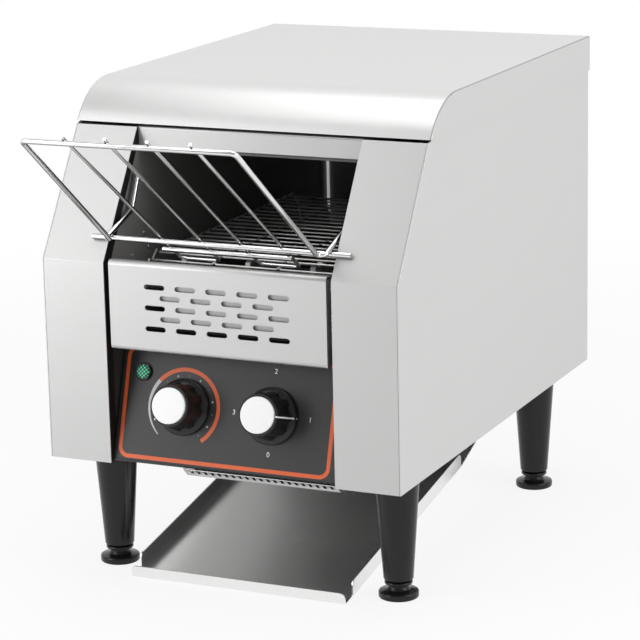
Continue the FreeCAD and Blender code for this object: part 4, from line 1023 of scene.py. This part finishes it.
def pan_columns():
    """Where the front is divided along the pan, each with whether a slot starts there."""
    columns = [(pan_left, False)]
    for i in range(slot_count):
        x = pan_left + slot_start + i * slot_step
        columns += [(x - slot_width / 2, True), (x + slot_width / 2, False)]
    return columns + [(pan_right, False)]


columns = pan_columns()
(top_y, top_z), (low_y, low_z) = pan_outline[:2]
rows = [(top_y + (low_y - top_y) * t, top_z + (low_z - top_z) * t)
        for t in (0.0, slot_from, slot_to)] + pan_outline[1:]
pan_points = [at(x, y, z) for x, _ in columns for y, z in rows]
pan_faces = []
for i, (_, slotted) in enumerate(columns[:-1]):
    for j in range(len(rows) - 1):
        if not (slotted and j == 1):
            a = i * len(rows) + j
            pan_faces.append((a, a + 1, a + len(rows) + 1, a + len(rows)))
pan_mesh = bpy.data.meshes.new("vent_pan_sheet")
pan_mesh.from_pydata(pan_points, [], pan_faces)
pan = add_piece("vent_pan_sheet", pan_mesh, "pan sheet", "housing", 25.0)
thick = pan.modifiers.new("thickness", "SOLIDIFY")
thick.thickness = pan_sheet * mm
thick.offset = -1.0
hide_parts("vent_pan")
print(f"vent pan with {slot_count} slots, {len(pan_faces)} faces")

# %% [markdown]
# ## Rivets and the corner bead
# Small things inside the mouth catch the light: two rivets and a pin in the left wall, and the
# rolled bead that stiffens the rear corner of the chamber, which is lit by the lamps and by a
# painted glow. A rivet is a lathe outline laid on its side, and the bead is one more straight
# wire.

# %% Rivets and bead
def bead_painted_glow():
    """Bright bead with a painted glow that stands in for the light falling on it through the gap
    at the rear corner.
    """
    made = Finish("bead_painted_glow")
    clouds = made.noise(16.0, 3.0)
    made.set(Base_Color=clouds.mix(grey(0.6), grey(0.8)), Metallic=0.7,
             Roughness=0.3 + (clouds - 0.5) * 0.1,
             Emission_Color=clouds.mix(grey(0.6), grey(1.0)), Emission_Strength=0.42)
    return made.material


finishes["bead painted glow"] = bead_painted_glow()
wall_face = -93.2
rivet_places = ((66.7, 163.6), (73.8, 151.4))
pin_place, pin_length, pin_radius = (44.9, 150.7), 2.2, 0.9
bead_place, bead_radius, bead_low, bead_high = (-90.9, 401.9), 1.1, 3.0, 250.0
rivet_outline = [(2.0, 0.0), (2.0, 0.5), (1.5, 1.0), (0.8, 1.3), (0.0, 1.35)]
lie_down = Matrix.Rotation(math.radians(90), 4, "Y")
for i, place in enumerate(rivet_places):
    stand = Matrix.Translation(at(wall_face, *place)) @ lie_down
    rivet = lathe(f"wall_rivet_{i}", rivet_outline, stand, 24)
    add_piece(f"wall_rivet_{i}", rivet, "under sheet", "housing")
pin_ends = [at(wall_face, *pin_place), at(wall_face + pin_length, *pin_place)]
pin = bent_wire("wall_pin", pin_ends, pin_radius)
add_piece("wall_pin", pin, "slot backing", "housing")
bead_ends = [at(*bead_place, bead_low), at(*bead_place, bead_high)]
bead = bent_wire("corner_bead", bead_ends, bead_radius)
add_piece("corner_bead", bead, "bead painted glow", "housing")
print("two rivets, a pin and a bead")

# %% [markdown]
# ## Studio
# The toaster stands on a pale floor under soft lamps, as in a plain catalogue picture. The
# lamps light it at a level where a colour comes out as it is written. The white background is
# not more light: the floor and the world only look white to the camera and to reflections.
# Metal shows what surrounds it, so reflections also find a dimmer part of the studio, high up
# behind the photographer, which puts dark streaks into the bright wires beside their painted
# dark undersides.

# %% Floor
def ray_kinds(shade):
    """1 for rays from the camera, and 1 for rays from a mirror or through glass."""
    camera = shade.node("LightPath", output="Is Camera Ray")
    glossy = shade.node("LightPath", output="Is Glossy Ray")
    through = shade.node("LightPath", output="Is Transmission Ray")
    return camera, glossy.larger(through)


floor_size = 6.0
floor_tone = 0.88
floor_glow = 0.86
floor_fade = (0.5, 1.3)
floor_mesh = bpy.data.meshes.new("floor")
edge = floor_size / 2
floor_mesh.from_pydata([(-edge, -edge, counter), (edge, -edge, counter), (edge, edge, counter),
                        (-edge, edge, counter)], [], [(0, 1, 2, 3)])
floor = bpy.data.objects.new("floor", floor_mesh)
bpy.context.scene.collection.objects.link(floor)
floor_paint = bpy.data.materials.new("floor_paint")
floor_paint.use_nodes = True
shade = Shade(floor_paint.node_tree)
matte = shade.node("BsdfDiffuse", None, {"Color": grey(floor_tone)})
white = shade.node("Emission", None, {"Color": grey(1.0), "Strength": 1.0})
spot = shade.node("TexCoord", output="Object")
away = shade.node("VectorMath", {"operation": "LENGTH"}, {0: spot}, output="Value")
away = away.ramp(*floor_fade)
from_camera, from_mirror = ray_kinds(shade)
glow = from_camera.larger(from_mirror) * (away * (1 - floor_glow) + floor_glow)
both = shade.node("MixShader", None, {0: glow, 1: matte, 2: white})
shade.plug(floor_paint.node_tree.nodes["Material Output"].inputs["Surface"], both)
floor_mesh.materials.append(floor_paint)
print("floor ready")

# %% World
ambient = 0.38
studio_dark = 0.38
world = bpy.data.worlds.new("studio")
world.use_nodes = True
bpy.context.scene.world = world
shade = Shade(world.node_tree)
way = shade.node("TexCoord", output="Generated")
unlit = way.dot((0.0, -0.8, 0.9)).ramp(0.25, 0.75)
studio = unlit.mix(grey(1.0), grey(studio_dark))
dim = shade.node("Background", None, {"Color": grey(1.0), "Strength": ambient})
mirrored = shade.node("Background", None, {"Color": studio, "Strength": 1.0})
plain = shade.node("Background", None, {"Color": grey(1.0), "Strength": 1.0})
from_camera, from_mirror = ray_kinds(shade)
both = shade.node("MixShader", None, {0: from_mirror, 1: dim, 2: mirrored})
both = shade.node("MixShader", None, {0: from_camera, 1: both, 2: plain})
shade.plug(world.node_tree.nodes["World Output"].inputs["Surface"], both)
print("world ready")

# %% Lamps
def soft_lamp(name, place, target, side, power):
    """A large square lamp that points at a place."""
    data = bpy.data.lights.new(name, "AREA")
    data.shape = "RECTANGLE"
    data.size = side
    data.size_y = side
    data.energy = power
    lamp = bpy.data.objects.new(name, data)
    bpy.context.scene.collection.objects.link(lamp)
    lamp.location = place
    lamp.rotation_euler = (target - lamp.location).to_track_quat("-Z", "Y").to_euler()


middle = (cad_box[0] + cad_box[1]) / 2
lamp_plan = [("top lamp", (0.0, 0.1, 1.7), 1.4, 12.2),
             ("left lamp", (-0.85, -1.00, 0.36), 0.7, 5.2),
             ("right lamp", (1.6, -0.1, 0.8), 1.0, 9.2),
             ("high lamp", (-0.95, -1.00, 1.30), 0.9, 4.7)]
for name, place, side, power in lamp_plan:
    soft_lamp(name, Vector(place), middle, side, power)
print(len(lamp_plan), "lamps")

# %% [markdown]
# ## Camera
# The camera stands where the photographer's did: a long lens, some two metres away, above and to
# the right. Its turn, dip and slight roll were worked out from the toaster's own corners.

# %% Camera
camera_place = at(857.6, -1684.18, 582.2)
camera_turn, camera_dip, camera_roll = 24.695, 13.847, -1.243
camera_lens, camera_sensor = 150.37, 36.0
camera_data = bpy.data.cameras.new("camera")
camera_data.lens = camera_lens
camera_data.sensor_width = camera_sensor
camera = bpy.data.objects.new("camera", camera_data)
bpy.context.scene.collection.objects.link(camera)
camera.matrix_world = (Matrix.Translation(camera_place)
                       @ Matrix.Rotation(math.radians(camera_turn), 4, "Z")
                       @ Matrix.Rotation(math.radians(90 - camera_dip), 4, "X")
                       @ Matrix.Rotation(math.radians(camera_roll), 4, "Z"))
bpy.context.scene.camera = camera
bpy.context.scene.view_settings.view_transform = "Standard"
print("camera at", tuple(round(c, 3) for c in camera_place))

# %% [markdown]
# ## Sizes
# The box round the imported model, as it was loaded, is printed. What is shown has to stay
# as large as the imported model.

# %% Sizes, and the end
print("box of the packed model", [round(c, 4) for corner in cad_box for c in corner])
